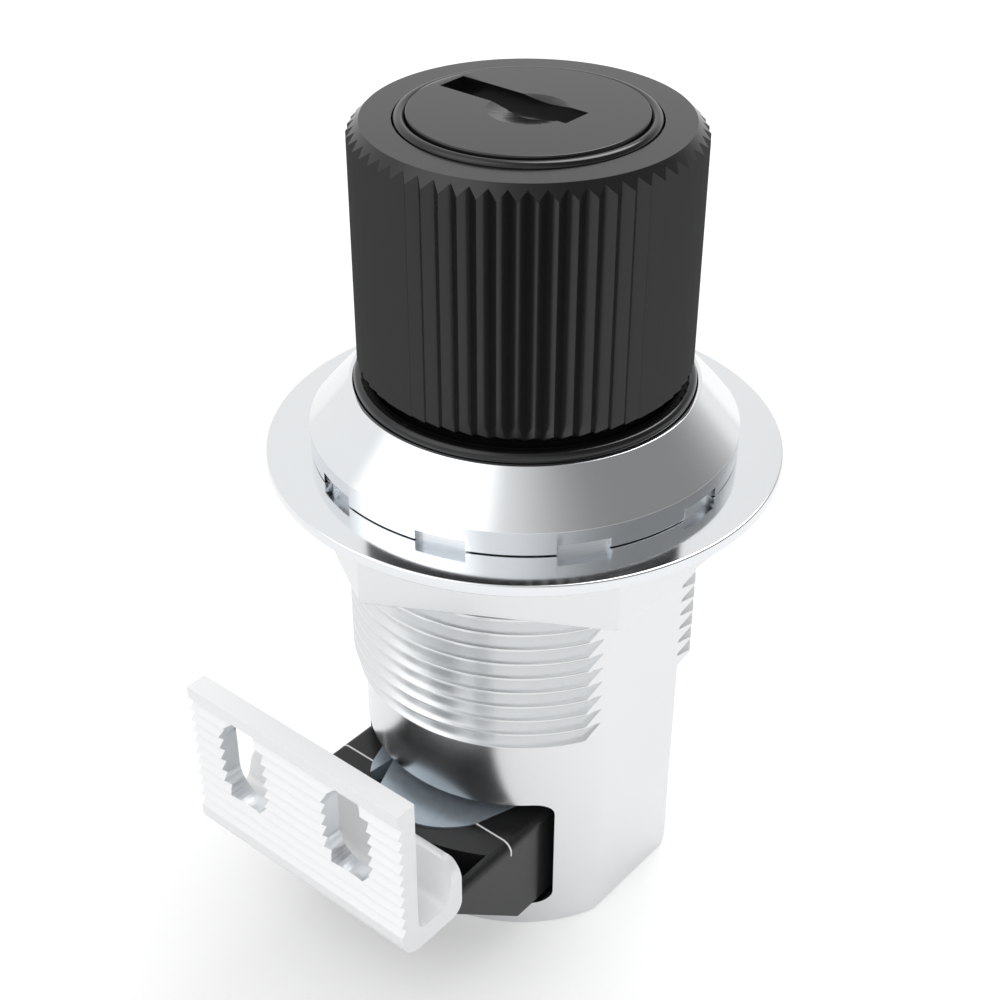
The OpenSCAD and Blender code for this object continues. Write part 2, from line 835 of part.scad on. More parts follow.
// Side outline of the bolt, as Y and height
function bolt_side() = [
    [bolt_rear, bolt_z0], [bolt_rear, bolt_top], [-line_y + line_w / 2, bolt_top],
    [-line_y, bolt_top - line_deep], [-line_y - line_w / 2, bolt_top],
    [-bolt_reach + 0.2, tip_top], [-bolt_reach, tip_top - 0.2], [-bolt_reach, tip_z0],
    [-bolt_reach + slope_len, bolt_z0]
];

// Outline of the metal plate, grown to give its pocket
function plate_outline(grow) = concat(
    [
        [plate_w / 2 + grow, -6.2], [plate_w / 2 + grow, plate_rear + grow],
        [-plate_w / 2 - grow, plate_rear + grow], [-plate_w / 2 - grow, -6.2]
    ],
    arc([0, -plate_nose_y], plate_nose_r + grow, 208, 332, 24)
);

// Latch bolt with its nose, plate pocket, spring bores and rail slot
module bolt() {
    half = bolt_w / 2;
    color([0.15, 0.15, 0.155])
    difference() {
        intersection() {
            along_x(-half, half, bolt_side());
            along_y(-bolt_reach - cut, bolt_rear + cut, concat(
                [[-half, bolt_z0 - cut], [half, bolt_z0 - cut]],
                arc([half - bolt_edge_r, bolt_top - bolt_edge_r], bolt_edge_r, 0, 90, 6),
                arc([-half + bolt_edge_r, bolt_top - bolt_edge_r], bolt_edge_r, 90, 180, 6)
            ));
            union() {
                rod(rear_r, bolt_z0 - cut, bolt_top + cut, 0, -bolt_stroke);
                block([-half - cut, -bolt_reach - cut, bolt_z0 - cut], [half + cut, -bolt_stroke, bolt_top + cut]);
            }
        }
        upright(plate_z0 - seat, bolt_top + cut, plate_outline(seat));
        for (side = [-1, 1])
            rod_y(spring_bore_r, spring_front, bolt_rear + cut, side * spring_x, spring_z);
        along_y(rail_front - bolt_stroke - 0.5, bolt_rear + cut, rail_points(rail_gap));
        for (y = rivet_y)
            rod(rivet_r, plate_z0 - 1.8, plate_z0 + cut, rivet_x, y);
        nose_recess();
    }
}

// Space behind the tip of the nose, between the cheeks
module nose_recess() {
    half = bolt_w / 2 - cheek_t;
    slope = tan(nose_angle);
    deep_z = tip_z0 - (bolt_reach - nose_recess_r + 4) * slope + nose_floor;
    difference() {
        along_x(-half, half, [
            [-nose_recess_r + 4, deep_z], [-nose_recess_r + 4, bolt_top + cut],
            [-bolt_reach - cut, bolt_top + cut], [-bolt_reach, tip_z0 + nose_floor]
        ]);
        rod(nose_recess_r, bolt_z0 - cut, bolt_top + 2 * cut);
    }
}

// Metal plate with the drive pin's slot and a relief notch in its nose
module bolt_plate() {
    color("slategray")
    difference() {
        upright(plate_z0, plate_top, plate_outline(0));
        upright(plate_z0 - cut, plate_top + cut, rounded([slot_x0, slot_front], [slot_x1, slot_back], 0.6));
        upright(plate_z0 - cut, plate_top + cut, [[-4.65, -11.3], [-5.1, -15.4], [-2.4, -16.9]]);
        for (y = rivet_y)
            translate([rivet_x, y, 0])
                countersunk(rivet_r + seat, rivet_head_r + seat, plate_top + 0.001, plate_z0 - cut);
    }
}

// One of the rivets that hold the plate in the bolt
module plate_rivet(i) {
    color("lightgray")
        translate([rivet_x, rivet_y[i], 0])
            countersunk(rivet_r - seat, rivet_head_r - seat, plate_top - seat, plate_z0 - 1.6);
}

// Coil spring along Y, swept as one closed tube
module bolt_spring(side) {
    sides = 6;
    per_turn = 16;
    rings = spring_turns * per_turn;
    wire = spring_wire / 2;
    coil = spring_d / 2 - wire;
    y0 = spring_front + wire + tiny;
    y1 = seat_y - wire - tiny;
    points = [
        for (i = [0:rings], j = [0:sides - 1])
            let (a = 360 * i / per_turn, b = 360 * j / sides, r = coil + wire * cos(b))
                [r * cos(a), y0 + (y1 - y0) * i / rings + wire * sin(b), r * sin(a)]
    ];
    tube = [
        for (i = [0:rings - 1], j = [0:sides - 1])
            let (n = (j + 1) % sides)
                each [
                    [i * sides + j, i * sides + n, (i + 1) * sides + n],
                    [i * sides + j, (i + 1) * sides + n, (i + 1) * sides + j]
                ]
    ];
    ends = [[for (j = [sides - 1:-1:0]) j], [for (j = [0:sides - 1]) rings * sides + j]];
    color("lightgray")
        translate([side * spring_x, 0, spring_z])
            polyhedron(points = points, faces = concat(tube, ends), convexity = 12);
}

barrel();
bezel_plate();
collar();
hex_nut();
knob_seal();
spindle_bush();
end_cap();
end_cap_ring();
keeper();
knob();
spindle();
spindle_clip();
hub_screw(0);  // hub_screw_1
hub_screw(1);  // hub_screw_2
hub_screw(2);  // hub_screw_3
hub_screw(3);  // hub_screw_4
drive_disc();
drive_pin();
disc_screw();
lock_plug();
plug_seal();
plug_clip();
lock_dog();
bolt();
bolt_plate();
plate_rivet(0);  // plate_rivet_1
plate_rivet(1);  // plate_rivet_2
bolt_spring(-1);  // bolt_spring_left
bolt_spring(1);  // bolt_spring_right
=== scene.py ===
# %% [markdown]
# # A touch latch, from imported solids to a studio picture
# The latch goes through a panel. A black fluted knob with a key lock stands in front, a polished
# collar and a thin bezel plate close the hole, and a nut pulls the threaded barrel tight from behind.
# Low in the barrel sits a sprung bolt, and a serrated strike, the keeper, hooks over its nose.
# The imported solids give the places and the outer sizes. This lesson adds edges, a thread, a studio
# and finishes.

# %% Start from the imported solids
import json
import math

import bpy
from mathutils import Matrix, Vector

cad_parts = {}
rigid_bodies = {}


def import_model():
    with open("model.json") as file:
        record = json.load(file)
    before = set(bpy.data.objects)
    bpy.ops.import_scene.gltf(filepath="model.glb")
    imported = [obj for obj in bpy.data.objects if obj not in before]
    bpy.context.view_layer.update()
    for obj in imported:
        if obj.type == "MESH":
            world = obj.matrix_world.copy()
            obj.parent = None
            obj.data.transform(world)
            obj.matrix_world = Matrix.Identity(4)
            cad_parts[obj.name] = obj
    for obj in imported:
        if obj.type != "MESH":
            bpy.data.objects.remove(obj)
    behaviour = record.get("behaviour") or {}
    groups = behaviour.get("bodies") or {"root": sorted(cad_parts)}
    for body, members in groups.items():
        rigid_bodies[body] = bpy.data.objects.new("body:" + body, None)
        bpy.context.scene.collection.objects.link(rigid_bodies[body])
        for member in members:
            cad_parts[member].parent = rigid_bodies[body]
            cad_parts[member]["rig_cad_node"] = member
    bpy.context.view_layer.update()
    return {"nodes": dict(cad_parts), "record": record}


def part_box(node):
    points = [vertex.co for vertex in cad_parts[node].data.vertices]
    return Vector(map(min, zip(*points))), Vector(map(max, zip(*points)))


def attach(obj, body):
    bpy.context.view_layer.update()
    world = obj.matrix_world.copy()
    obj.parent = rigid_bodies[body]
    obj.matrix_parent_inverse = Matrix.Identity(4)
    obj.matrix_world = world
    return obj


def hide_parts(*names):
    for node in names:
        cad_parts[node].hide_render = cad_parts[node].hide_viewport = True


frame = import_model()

MM = 0.001
nodes = frame["nodes"]
bpy.context.scene.view_settings.view_transform = "Standard"


def span(node):
    """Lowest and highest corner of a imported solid, in millimetres."""
    low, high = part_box(node)
    return low / MM, high / MM


for name in sorted(nodes):
    low, high = span(name)
    print(name, [round(v, 2) for v in low], [round(v, 2) for v in high])

# %% [markdown]
# ## The camera
# The picture is taken from above and from the right of the bolt, with a moderately long lens.
# The camera comes first, because every later choice is judged through it.

# %% Camera
camera_data = bpy.data.cameras.new("studio_camera")
camera = bpy.data.objects.new("studio_camera", camera_data)
bpy.context.scene.collection.objects.link(camera)
bpy.context.scene.camera = camera
camera_data.lens = 59.78
camera_data.sensor_width = 36
camera_data.clip_start = 0.005
camera_data.clip_end = 20
camera.location = Vector((69.81, -86.82, 69.35)) * MM
sight = Vector((-0.5311, 0.6379, -0.5577))
camera.rotation_mode = "QUATERNION"
camera.rotation_quaternion = sight.to_track_quat("-Z", "Y")
roll = Matrix.Rotation(math.radians(0.145), 4, "Z")
camera.rotation_quaternion @= roll.to_quaternion()
print("camera", round(camera.location.length / MM), "mm from the latch's middle")

# %% [markdown]
# ## Modelling helpers
# Turned pieces are drawn as half a section and spun round the axis, as on a lathe. Sheet and moulded
# pieces are drawn as an outline, filled and pulled out. Both start from one vertex that is extruded
# from point to point, so that every corner is where the drawing says. Corners that end up on each
# other, nearer than the weld distance, become one.


# %% Selecting and drawing
WELD = 0.0005 * MM


def nothing_selected():
    if bpy.context.mode != "OBJECT":
        bpy.ops.object.mode_set(mode="OBJECT")
    bpy.ops.object.select_all(action="DESELECT")


def only(piece):
    nothing_selected()
    piece.select_set(True)
    bpy.context.view_layer.objects.active = piece


def trace(name, points):
    """Leaves edit mode open on a closed outline through the points, given in millimetres."""
    nothing_selected()
    bpy.ops.mesh.primitive_plane_add(size=MM)
    piece = bpy.context.active_object
    piece.name = piece.data.name = name
    bpy.ops.object.mode_set(mode="EDIT")
    bpy.ops.mesh.select_all(action="SELECT")
    bpy.ops.mesh.merge(type="CENTER")
    bpy.ops.transform.translate(value=Vector(points[0]) * MM)
    for here, there in zip(points, points[1:] + points[:1]):
        step = (Vector(there) - Vector(here)) * MM
        bpy.ops.mesh.extrude_region_move(TRANSFORM_OT_translate={"value": step})
    bpy.ops.mesh.select_all(action="SELECT")
    bpy.ops.mesh.remove_doubles(threshold=WELD)
    return piece


def close_mesh(piece):
    bpy.ops.mesh.select_all(action="SELECT")
    bpy.ops.mesh.remove_doubles(threshold=WELD)
    bpy.ops.mesh.normals_make_consistent(inside=False)
    bpy.ops.object.mode_set(mode="OBJECT")
    piece.select_set(False)
    return piece


def turned(name, section, steps=144):
    """A lathe piece from its half section, as (radius, height)."""
    piece = trace(name, [(r, 0, z) for r, z in section])
    bpy.ops.mesh.select_all(action="SELECT")
    bpy.ops.mesh.spin(steps=steps, angle=math.tau, center=(0, 0, 0), axis=(0, 0, 1))
    return close_mesh(piece)


def pulled(name, outline, way):
    """A flat outline, filled and pulled out along a vector."""
    piece = trace(name, outline)
    bpy.ops.mesh.edge_face_add()
    bpy.ops.mesh.extrude_region_move(TRANSFORM_OT_translate={"value": Vector(way) * MM})
    return close_mesh(piece)


def box_between(name, low, high):
    low, high = Vector(low), Vector(high)
    nothing_selected()
    bpy.ops.mesh.primitive_cube_add(size=1)
    piece = bpy.context.active_object
    piece.name = piece.data.name = name
    bpy.ops.object.mode_set(mode="EDIT")
    bpy.ops.transform.resize(value=(high - low) * MM)
    bpy.ops.transform.translate(value=(low + high) / 2 * MM)
    return close_mesh(piece)


def post(name, r, z0, z1, x=0, y=0, sides=64):
    nothing_selected()
    bpy.ops.mesh.primitive_cylinder_add(vertices=sides, radius=r * MM, depth=(z1 - z0) * MM)
    piece = bpy.context.active_object
    piece.name = piece.data.name = name
    bpy.ops.object.mode_set(mode="EDIT")
    bpy.ops.transform.translate(value=Vector((x, y, (z0 + z1) / 2)) * MM)
    return close_mesh(piece)


# %% Copying, joining and cutting
def turned_copy(piece, degrees):
    """A copy with its own mesh, turned round the Z axis."""
    twin = piece.copy()
    twin.data = piece.data.copy()
    bpy.context.scene.collection.objects.link(twin)
    twin.data.transform(Matrix.Rotation(math.radians(degrees), 4, "Z"))
    return twin


def joined(pieces):
    only(pieces[0])
    for piece in pieces[1:]:
        piece.select_set(True)
    bpy.ops.object.join()
    return pieces[0]


def apply(piece, modifier):
    only(piece)
    bpy.ops.object.modifier_apply(modifier=modifier.name)
    piece.select_set(False)


def combine(piece, tool, operation):
    """Boolean of piece and tool, which is used up. operation is DIFFERENCE, UNION or INTERSECT."""
    m = piece.modifiers.new("combine", "BOOLEAN")
    m.operation, m.solver, m.object = operation, "EXACT", tool
    apply(piece, m)
    bpy.data.objects.remove(tool)
    return piece


def soften(piece, width, angle=40, segments=2):
    """Rounds the edges that turn more than the angle, and smooths what turns less."""
    m = piece.modifiers.new("edges", "BEVEL")
    m.width, m.segments, m.limit_method = width * MM, segments, "ANGLE"
    m.angle_limit = math.radians(angle)
    m.use_clamp_overlap = True
    apply(piece, m)
    smooth(piece, angle - 4)


def smooth(piece, angle=36):
    """Smooth shading across edges under the angle. Large faces keep their own direction."""
    only(piece)
    bpy.ops.object.shade_smooth_by_angle(angle=math.radians(angle))
    m = piece.modifiers.new("weights", "WEIGHTED_NORMAL")
    m.keep_sharp = True
    apply(piece, m)


def keep_crisp(piece, is_crisp):
    """Marks an edge as sharp where is_crisp says so of its two ends, and weighs the shading again."""
    points = piece.data.vertices
    chosen = [e for e in piece.data.edges if is_crisp(*(points[i].co / MM for i in e.vertices))]
    for edge in chosen:
        edge.use_edge_sharp = True
    only(piece)
    m = piece.modifiers.new("weights", "WEIGHTED_NORMAL")
    m.keep_sharp = True
    apply(piece, m)
    print(piece.name, "crisp edges", len(chosen))


def place(piece, body, *stands_for):
    """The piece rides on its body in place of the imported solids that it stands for."""
    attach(piece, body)
    if stands_for:
        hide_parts(*stands_for)
    print(piece.name, "faces", len(piece.data.polygons), "on", body)
    return piece


# %% Winding up a section
def wound(piece, turns, rise, steps):
    """Winds a drawn section up round the Z axis, with a rise in each turn, and closes its ends."""
    bpy.ops.object.mode_set(mode="OBJECT")
    coil = piece.modifiers.new("coil", "SCREW")
    coil.angle, coil.screw_offset, coil.iterations = math.tau, rise * MM, turns
    coil.steps = coil.render_steps = steps
    coil.use_merge_vertices = False
    apply(piece, coil)
    only(piece)
    bpy.ops.object.mode_set(mode="EDIT")
    bpy.ops.mesh.select_all(action="SELECT")
    bpy.ops.mesh.remove_doubles(threshold=WELD)
    bpy.ops.mesh.fill_holes(sides=14)
    return close_mesh(piece)


# %% Round corners in a drawing
def arc(centre, r, start, end, steps=6):
    return [(centre[0] + r * math.cos(math.radians(start + (end - start) * i / steps)),
             centre[1] + r * math.sin(math.radians(start + (end - start) * i / steps)))
            for i in range(steps + 1)]


def eased(points, radii, steps=4):
    """The outline with its corners rounded: one radius for each point, 0 for a sharp one."""
    out = []
    for i, (p, r) in enumerate(zip(points, radii)):
        here = Vector(p)
        if r == 0:
            out.append(tuple(here))
            continue
        a = (Vector(points[i - 1]) - here).normalized()
        b = (Vector(points[(i + 1) % len(points)]) - here).normalized()
        half = a.angle(b) / 2
        reach = r / math.tan(half)
        centre = here + (a + b).normalized() * (r / math.sin(half))
        first, last = here + a * reach - centre, here + b * reach - centre
        turn = first.angle_signed(last)
        for k in range(steps + 1):
            t = -turn * k / steps
            c, s = math.cos(t), math.sin(t)
            out.append((centre.x + first.x * c - first.y * s,
                        centre.y + first.x * s + first.y * c))
    return out


# %% [markdown]
# ## Finishes
# Real surfaces are never one flat colour. Two small node groups carry what the finishes share: a
# fine grain, as casting, moulding and plating leave it, and the rings that turning leaves. Each
# group gives a colour, a roughness and a height, and each material sets its own strength. On the
# bolt plate the grain is set so strong that it is also painted reflection.

# %% Building a node group
def new_group(name, inputs):
    group = bpy.data.node_groups.new(name, "ShaderNodeTree")
    for label, kind, default in inputs:
        socket = group.interface.new_socket(name=label, in_out="INPUT", socket_type=kind)
        socket.default_value = default
    for label, kind in (("Color", "NodeSocketColor"), ("Roughness", "NodeSocketFloat"),
                        ("Height", "NodeSocketFloat")):
        group.interface.new_socket(name=label, in_out="OUTPUT", socket_type=kind)
    source = group.nodes.new("NodeGroupInput")
    sink = group.nodes.new("NodeGroupOutput")
    return group, source, sink


def add_node(tree, kind, links=(), **settings):
    """One node: settings are its properties, links pairs of input name and value or socket."""
    node = tree.nodes.new(kind)
    for key, value in settings.items():
        setattr(node, key, value)
    for key, value in links:
        if isinstance(value, bpy.types.NodeSocket):
            tree.links.new(value, node.inputs[key])
        else:
            node.inputs[key].default_value = value
    return node


def maths(tree, operation, *values):
    """What a Math node gives. The values are numbers or sockets."""
    return add_node(tree, "ShaderNodeMath", enumerate(values), operation=operation).outputs[0]


# %% What every group takes in and gives out
SHARED = (("Color", "NodeSocketColor", (0.5, 0.5, 0.5, 1)),
          ("Color Change", "NodeSocketFloat", 0.1),
          ("Roughness", "NodeSocketFloat", 0.3),
          ("Roughness Change", "NodeSocketFloat", 0.1))


def spread(tree, source, mask, sink, height):
    """Colour, roughness and height out of a mask that runs from 0 to 1."""
    centred = maths(tree, "SUBTRACT", mask, 0.5)
    shade = maths(tree, "MULTIPLY_ADD", centred, source.outputs["Color Change"], 1.0)
    tint = add_node(tree, "ShaderNodeVectorMath", [(0, source.outputs["Color"]), (3, shade)],
                    operation="SCALE").outputs[0]
    rough = maths(tree, "MULTIPLY_ADD", centred, source.outputs["Roughness Change"],
                  source.outputs["Roughness"])
    tree.links.new(tint, sink.inputs["Color"])
    tree.links.new(rough, sink.inputs["Roughness"])
    tree.links.new(height, sink.inputs["Height"])


# %% Group: fine grain
def make_grain():
    count = ("Grains per metre", "NodeSocketFloat", 4000.0)
    group, source, sink = new_group("fine_grain", SHARED + (count,))
    where = add_node(group, "ShaderNodeTexCoord")
    fine = add_node(group, "ShaderNodeTexNoise",
                    [("Vector", where.outputs["Object"]), ("Scale", source.outputs[count[0]]),
                     ("Detail", 3.0), ("Roughness", 0.6)])
    broad = add_node(group, "ShaderNodeTexNoise",
                     [("Vector", where.outputs["Object"]), ("Scale", 180.0), ("Detail", 2.0)])
    both = maths(group, "ADD", fine.outputs["Fac"], broad.outputs["Fac"])
    mask = maths(group, "MULTIPLY", both, 0.5)
    spread(group, source, mask, sink, fine.outputs["Fac"])
    return group


# %% Group: rings left by turning
def make_rings():
    count = ("Rings per metre", "NodeSocketFloat", 9000.0)
    group, source, sink = new_group("turned_rings", SHARED + (count,))
    where = add_node(group, "ShaderNodeTexCoord")
    split = add_node(group, "ShaderNodeSeparateXYZ", [("Vector", where.outputs["Object"])])
    flat = add_node(group, "ShaderNodeCombineXYZ",
                    [("X", split.outputs["X"]), ("Y", split.outputs["Y"]), ("Z", 0.0)])
    radius = add_node(group, "ShaderNodeVectorMath", [(0, flat.outputs[0])], operation="LENGTH")
    reached = maths(group, "ADD", radius.outputs["Value"], split.outputs["Z"])
    line = add_node(group, "ShaderNodeCombineXYZ", [("X", reached), ("Y", 0.0), ("Z", 0.0)])
    rings = add_node(group, "ShaderNodeTexNoise",
                     [("Vector", line.outputs[0]), ("Scale", source.outputs[count[0]]),
                      ("Detail", 2.0)])
    spread(group, source, rings.outputs["Fac"], sink, rings.outputs["Fac"])
    return group


GROUPS = {"grain": (make_grain(), "Grains per metre"),
          "rings": (make_rings(), "Rings per metre")}
print("pattern groups", sorted(GROUPS))


# %% One recipe for every finish
def finish(name, color, rough, pattern="grain", count=4000, shade=0.08, uneven=0.06, depth=0.002,
           metal=0.0, coat=0.0, coat_rough=0.1, specular=0.5):
    """A material from one shared pattern. depth is the height of the pattern, in millimetres."""
    material = bpy.data.materials.new(name)
    material.use_nodes = True
    tree = material.node_tree
    shader = tree.nodes["Principled BSDF"]
    shader.inputs["Metallic"].default_value = metal
    shader.inputs["Coat Weight"].default_value = coat
    shader.inputs["Coat Roughness"].default_value = coat_rough
    shader.inputs["Specular IOR Level"].default_value = specular
    group, count_name = GROUPS[pattern]
    skin = add_node(tree, "ShaderNodeGroup", node_tree=group)
    values = {"Color": (*color, 1), "Color Change": shade, "Roughness": rough,
              "Roughness Change": uneven, count_name: count}
    for key, value in values.items():
        skin.inputs[key].default_value = value
    tree.links.new(skin.outputs["Color"], shader.inputs["Base Color"])
    tree.links.new(skin.outputs["Roughness"], shader.inputs["Roughness"])
    bump = add_node(tree, "ShaderNodeBump", [("Strength", 1.0), ("Distance", depth * MM),
                                             ("Height", skin.outputs["Height"])])
    tree.links.new(bump.outputs["Normal"], shader.inputs["Normal"])
    return material


# %% [markdown]
# ## The finishes, named for their pieces
# A finish has a colour and a roughness, a pattern with its count per metre, how much the pattern
# changes colour and roughness, its height in millimetres, and how much of a metal it is. Chrome is
# nearly smooth. The nut shows more grain. The plate's strong mottling is partly grain and partly
# painted reflection, and the black coats are smooth with a soft shine.

# %% Metals
BRIGHT = (0.845, 0.865, 0.885)
FINISHES = {
    "bezel_chrome": finish("collar_chrome", BRIGHT, 0.09, "rings", 5000, 0.02, 0.02, 0.00005, 1),
    "barrel_plated": finish("barrel_plating", (0.82, 0.83, 0.84), 0.22,
                            "grain", 7000, 0.04, 0.04, 0.0003, 1),
    "nut_plated": finish("nut_plating", (0.82, 0.835, 0.85), 0.30,
                         "grain", 9000, 0.05, 0.08, 0.0010, 1),
    "keeper_plated": finish("keeper_plating", (0.90, 0.91, 0.92), 0.30,
                            "grain", 3500, 0.03, 0.06, 0.0003, 0.1, coat=0.6),
    # The plate's broad, strong mottling is partly grain and partly painted reflection of the barrel
    # and thread
    "plate_steel": finish("bolt_plate_steel", (0.50, 0.57, 0.635), 0.42,
                          "grain", 1500, 0.70, 0.25, 0.0010, 0.65),
    "turned_steel": finish("turned_steel", (0.60, 0.60, 0.61), 0.28,
                           "rings", 9000, 0.06, 0.08, 0.0010, 1),
    "screw_steel": finish("screw_steel", (0.45, 0.45, 0.46), 0.32,
                          "grain", 6000, 0.08, 0.08, 0.0010, 1),
    "spring_steel": finish("spring_steel", (0.34, 0.34, 0.35), 0.30,
                           "grain", 6000, 0.10, 0.08, 0.0010, 1)}
print("metal finishes", len(FINISHES))

# %% Coats, rubber and plastics
FINISHES.update({
    "knob_black": finish("knob_coat", (0.0055, 0.0055, 0.006), 0.20,
                         "grain", 7000, 0.10, 0.05, 0.0004),
    "plug_black": finish("plug_coat", (0.0060, 0.0060, 0.0065), 0.20,
                         "grain", 7000, 0.10, 0.05, 0.0004),
    "seal_rubber": finish("seal_rubber", (0.0050, 0.0050, 0.0055), 0.11,
                          "grain", 5000, 0.10, 0.06, 0.0006),
    "bolt_plastic": finish("bolt_moulding", (0.019, 0.019, 0.020), 0.26,
                           "grain", 5000, 0.12, 0.08, 0.0010, specular=0.36),
    "cap_plastic": finish("cap_moulding", (0.030, 0.030, 0.032), 0.45,
                          "grain", 4000, 0.12, 0.08, 0.0020),
    "bush_plastic": finish("bush_moulding", (0.74, 0.70, 0.60), 0.45,
                           "grain", 3000, 0.06, 0.06, 0.0015)})
print("all finishes", len(FINISHES))

# %% Finishes of single places
RIM_CHROME = finish("bezel_plate_chrome", BRIGHT, 0.11, "rings", 5000, 0.02, 0.02, 0.00005, 1)
# Painted light: a lighter, half-metal satin that keeps the walls of the deep notches from going dark
NOTCH_PAINTED_LIGHT = finish("notch_painted_light", (0.90, 0.92, 0.94), 0.22,
                     "grain", 5000, 0.04, 0.06, 0.0003, 0.5)
# Painted light: a lighter copy of the keeper's white, for the shaded inside of the hook and the top
# face
HOOK_AND_TOP_PAINTED_LIGHT = finish("hook_and_top_painted_light", (0.97, 0.975, 0.98), 0.26,
                     "grain", 3500, 0.03, 0.05, 0.0003, 0.1)
SLOT_CHROME = finish("slot_chrome", (0.82, 0.84, 0.86), 0.38,
                     "grain", 5000, 0.04, 0.04, 0.00004, 1)
LINE_WHITE = finish("witness_white", (0.85, 0.85, 0.86), 0.35,
                    "grain", 6000, 0.05, 0.05, 0.0010)

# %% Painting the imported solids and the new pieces
SLOT_OF = {row["node"]: row["material_slot"] for row in frame["record"]["subparts"]}


def paint(piece, slot, material=None):
    piece.data.materials.clear()
    piece.data.materials.append(material or FINISHES[slot])


for name, node in nodes.items():
    paint(node, SLOT_OF[name])
print("painted", len(nodes), "packed solids")

# %% [markdown]
# ## Bezel plate and collar
# Both are turned from brass and chromed. The plate is a thin washer with a rounded rim. The collar is
# a cone on a short upright band, and a fitter tightens it with a tool in the ten notches of its foot.
# Its foot is undercut by a hair, which draws the fine dark line above the plate. Polished metal shows
# every flat facet, so the spin has many steps and all rims get a small radius.

# %% Bezel plate
bezel_r, bezel_top = span("bezel_plate")[1].xz
bezel_bore = 12.5
bezel_plate = turned("bezel_plate_turned", eased(
    [(bezel_bore, 0), (bezel_r, 0), (bezel_r, bezel_top), (bezel_bore, bezel_top)],
    [0.05, 0.08, 0.18, 0.05]), 192)
smooth(bezel_plate)
paint(bezel_plate, "bezel_chrome", RIM_CHROME)
place(bezel_plate, "housing", "bezel_plate")

# %% Collar with its notches
foot_r, mouth_z = span("collar")[1].xz
band_top = bezel_top + 2
UNDERCUT, GAP = 0.35, 0.09
collar_bore, mouth_r, shelf_z = 12.45, 13.5, 5.1
shelf_r = mouth_r - 0.3
collar = turned("collar_turned", eased(
    [(collar_bore, bezel_top), (foot_r - UNDERCUT, bezel_top), (foot_r - UNDERCUT, bezel_top + GAP),
     (foot_r, bezel_top + GAP), (foot_r, band_top), (mouth_r, mouth_z), (shelf_r, mouth_z),
     (shelf_r, shelf_z), (collar_bore, shelf_z)],
    [0, 0, 0, 0.05, 0.03, 0.1, 0.08, 0, 0.1]), 192)
NOTCHES, NOTCH_W, NOTCH_H, NOTCH_DEPTH = 10, 3.9, 0.9, 0.8
notch = box_between("notch", (foot_r - NOTCH_DEPTH, -NOTCH_W / 2, bezel_top - 1),
                    (foot_r + 1, NOTCH_W / 2, bezel_top + NOTCH_H))
notches = joined([notch] + [turned_copy(notch, 360 / NOTCHES * i) for i in range(1, NOTCHES)])
combine(collar, notches, "DIFFERENCE")
soften(collar, 0.04, 50)

# %% Painted light inside the notches: a lighter, half-metal satin
paint(collar, "bezel_chrome")
collar.data.materials.append(NOTCH_PAINTED_LIGHT)
inside = [f for f in collar.data.polygons if f.center.z < (bezel_top + NOTCH_H - 0.01) * MM
          and (collar_bore + 0.2) * MM < f.center.xy.length < (foot_r - UNDERCUT - 0.01) * MM]
for face in inside:
    face.material_index = 1
print("notch faces", len(inside))
place(collar, "housing", "collar")

# %% [markdown]
# ## Knob seal
# A soft black ring closes the gap between collar and knob against water. Its top is well rounded, so
# that it shows one thin line of light all the way round.

# %% Knob seal
low, high = span("knob_seal")
seal_out, seal_in = high.x, 12.0
knob_seal = turned("knob_seal_ring", eased(
    [(seal_in, low.z), (seal_out, low.z), (seal_out, high.z), (seal_in, high.z)],
    [0.1, 0.1, 0.5, 0.3], 6), 144)
smooth(knob_seal, 50)
paint(knob_seal, "seal_rubber")
place(knob_seal, "housing", "knob_seal")

# %% [markdown]
# ## Knob
# The grip has sixty V flutes that run out into a chamfer at each end, which is why both ends show a
# zigzag. A cylinder with 120 sides is the blank. Every second upright edge is pulled in, and a turned
# envelope then takes the ends down. The bores for the lock and the hub are cut last.

# %% Fluted blank
low, high = span("knob")
knob_r, knob_top, hub_z0 = 12.83, high.z, low.z
FLUTES, FLUTE_DEPTH, CHAMFER = 60, 0.62, 0.95
grip_z0 = 7.4
knob = post("knob_fluted", knob_r, grip_z0, knob_top, sides=2 * FLUTES)
only(knob)
bpy.ops.object.mode_set(mode="EDIT")
bpy.ops.mesh.select_all(action="DESELECT")
bpy.ops.object.mode_set(mode="OBJECT")
half_pitch = math.pi / FLUTES
for vertex in knob.data.vertices:
    step = math.atan2(vertex.co.y, vertex.co.x) / half_pitch
    vertex.select = round(step) % 2 == 1 and vertex.co.xy.length > knob_r / 2 * MM
bpy.ops.object.mode_set(mode="EDIT")
root = (knob_r - FLUTE_DEPTH) / knob_r
bpy.ops.transform.resize(value=(root, root, 1), center_override=(0, 0, 0))
bpy.ops.object.mode_set(mode="OBJECT")
crests = max(v.co.xy.length for v in knob.data.vertices) / MM
print("flute crests at", round(crests, 3), "roots at", round(crests * root, 3))

# %% Chamfered ends
OVER = 0.4
envelope = turned("envelope", [
    (0, grip_z0), (knob_r - CHAMFER, grip_z0), (knob_r + OVER, grip_z0 + CHAMFER + OVER),
    (knob_r + OVER, knob_top - CHAMFER - OVER), (knob_r - CHAMFER, knob_top), (0, knob_top)], 240)
combine(knob, envelope, "INTERSECT")

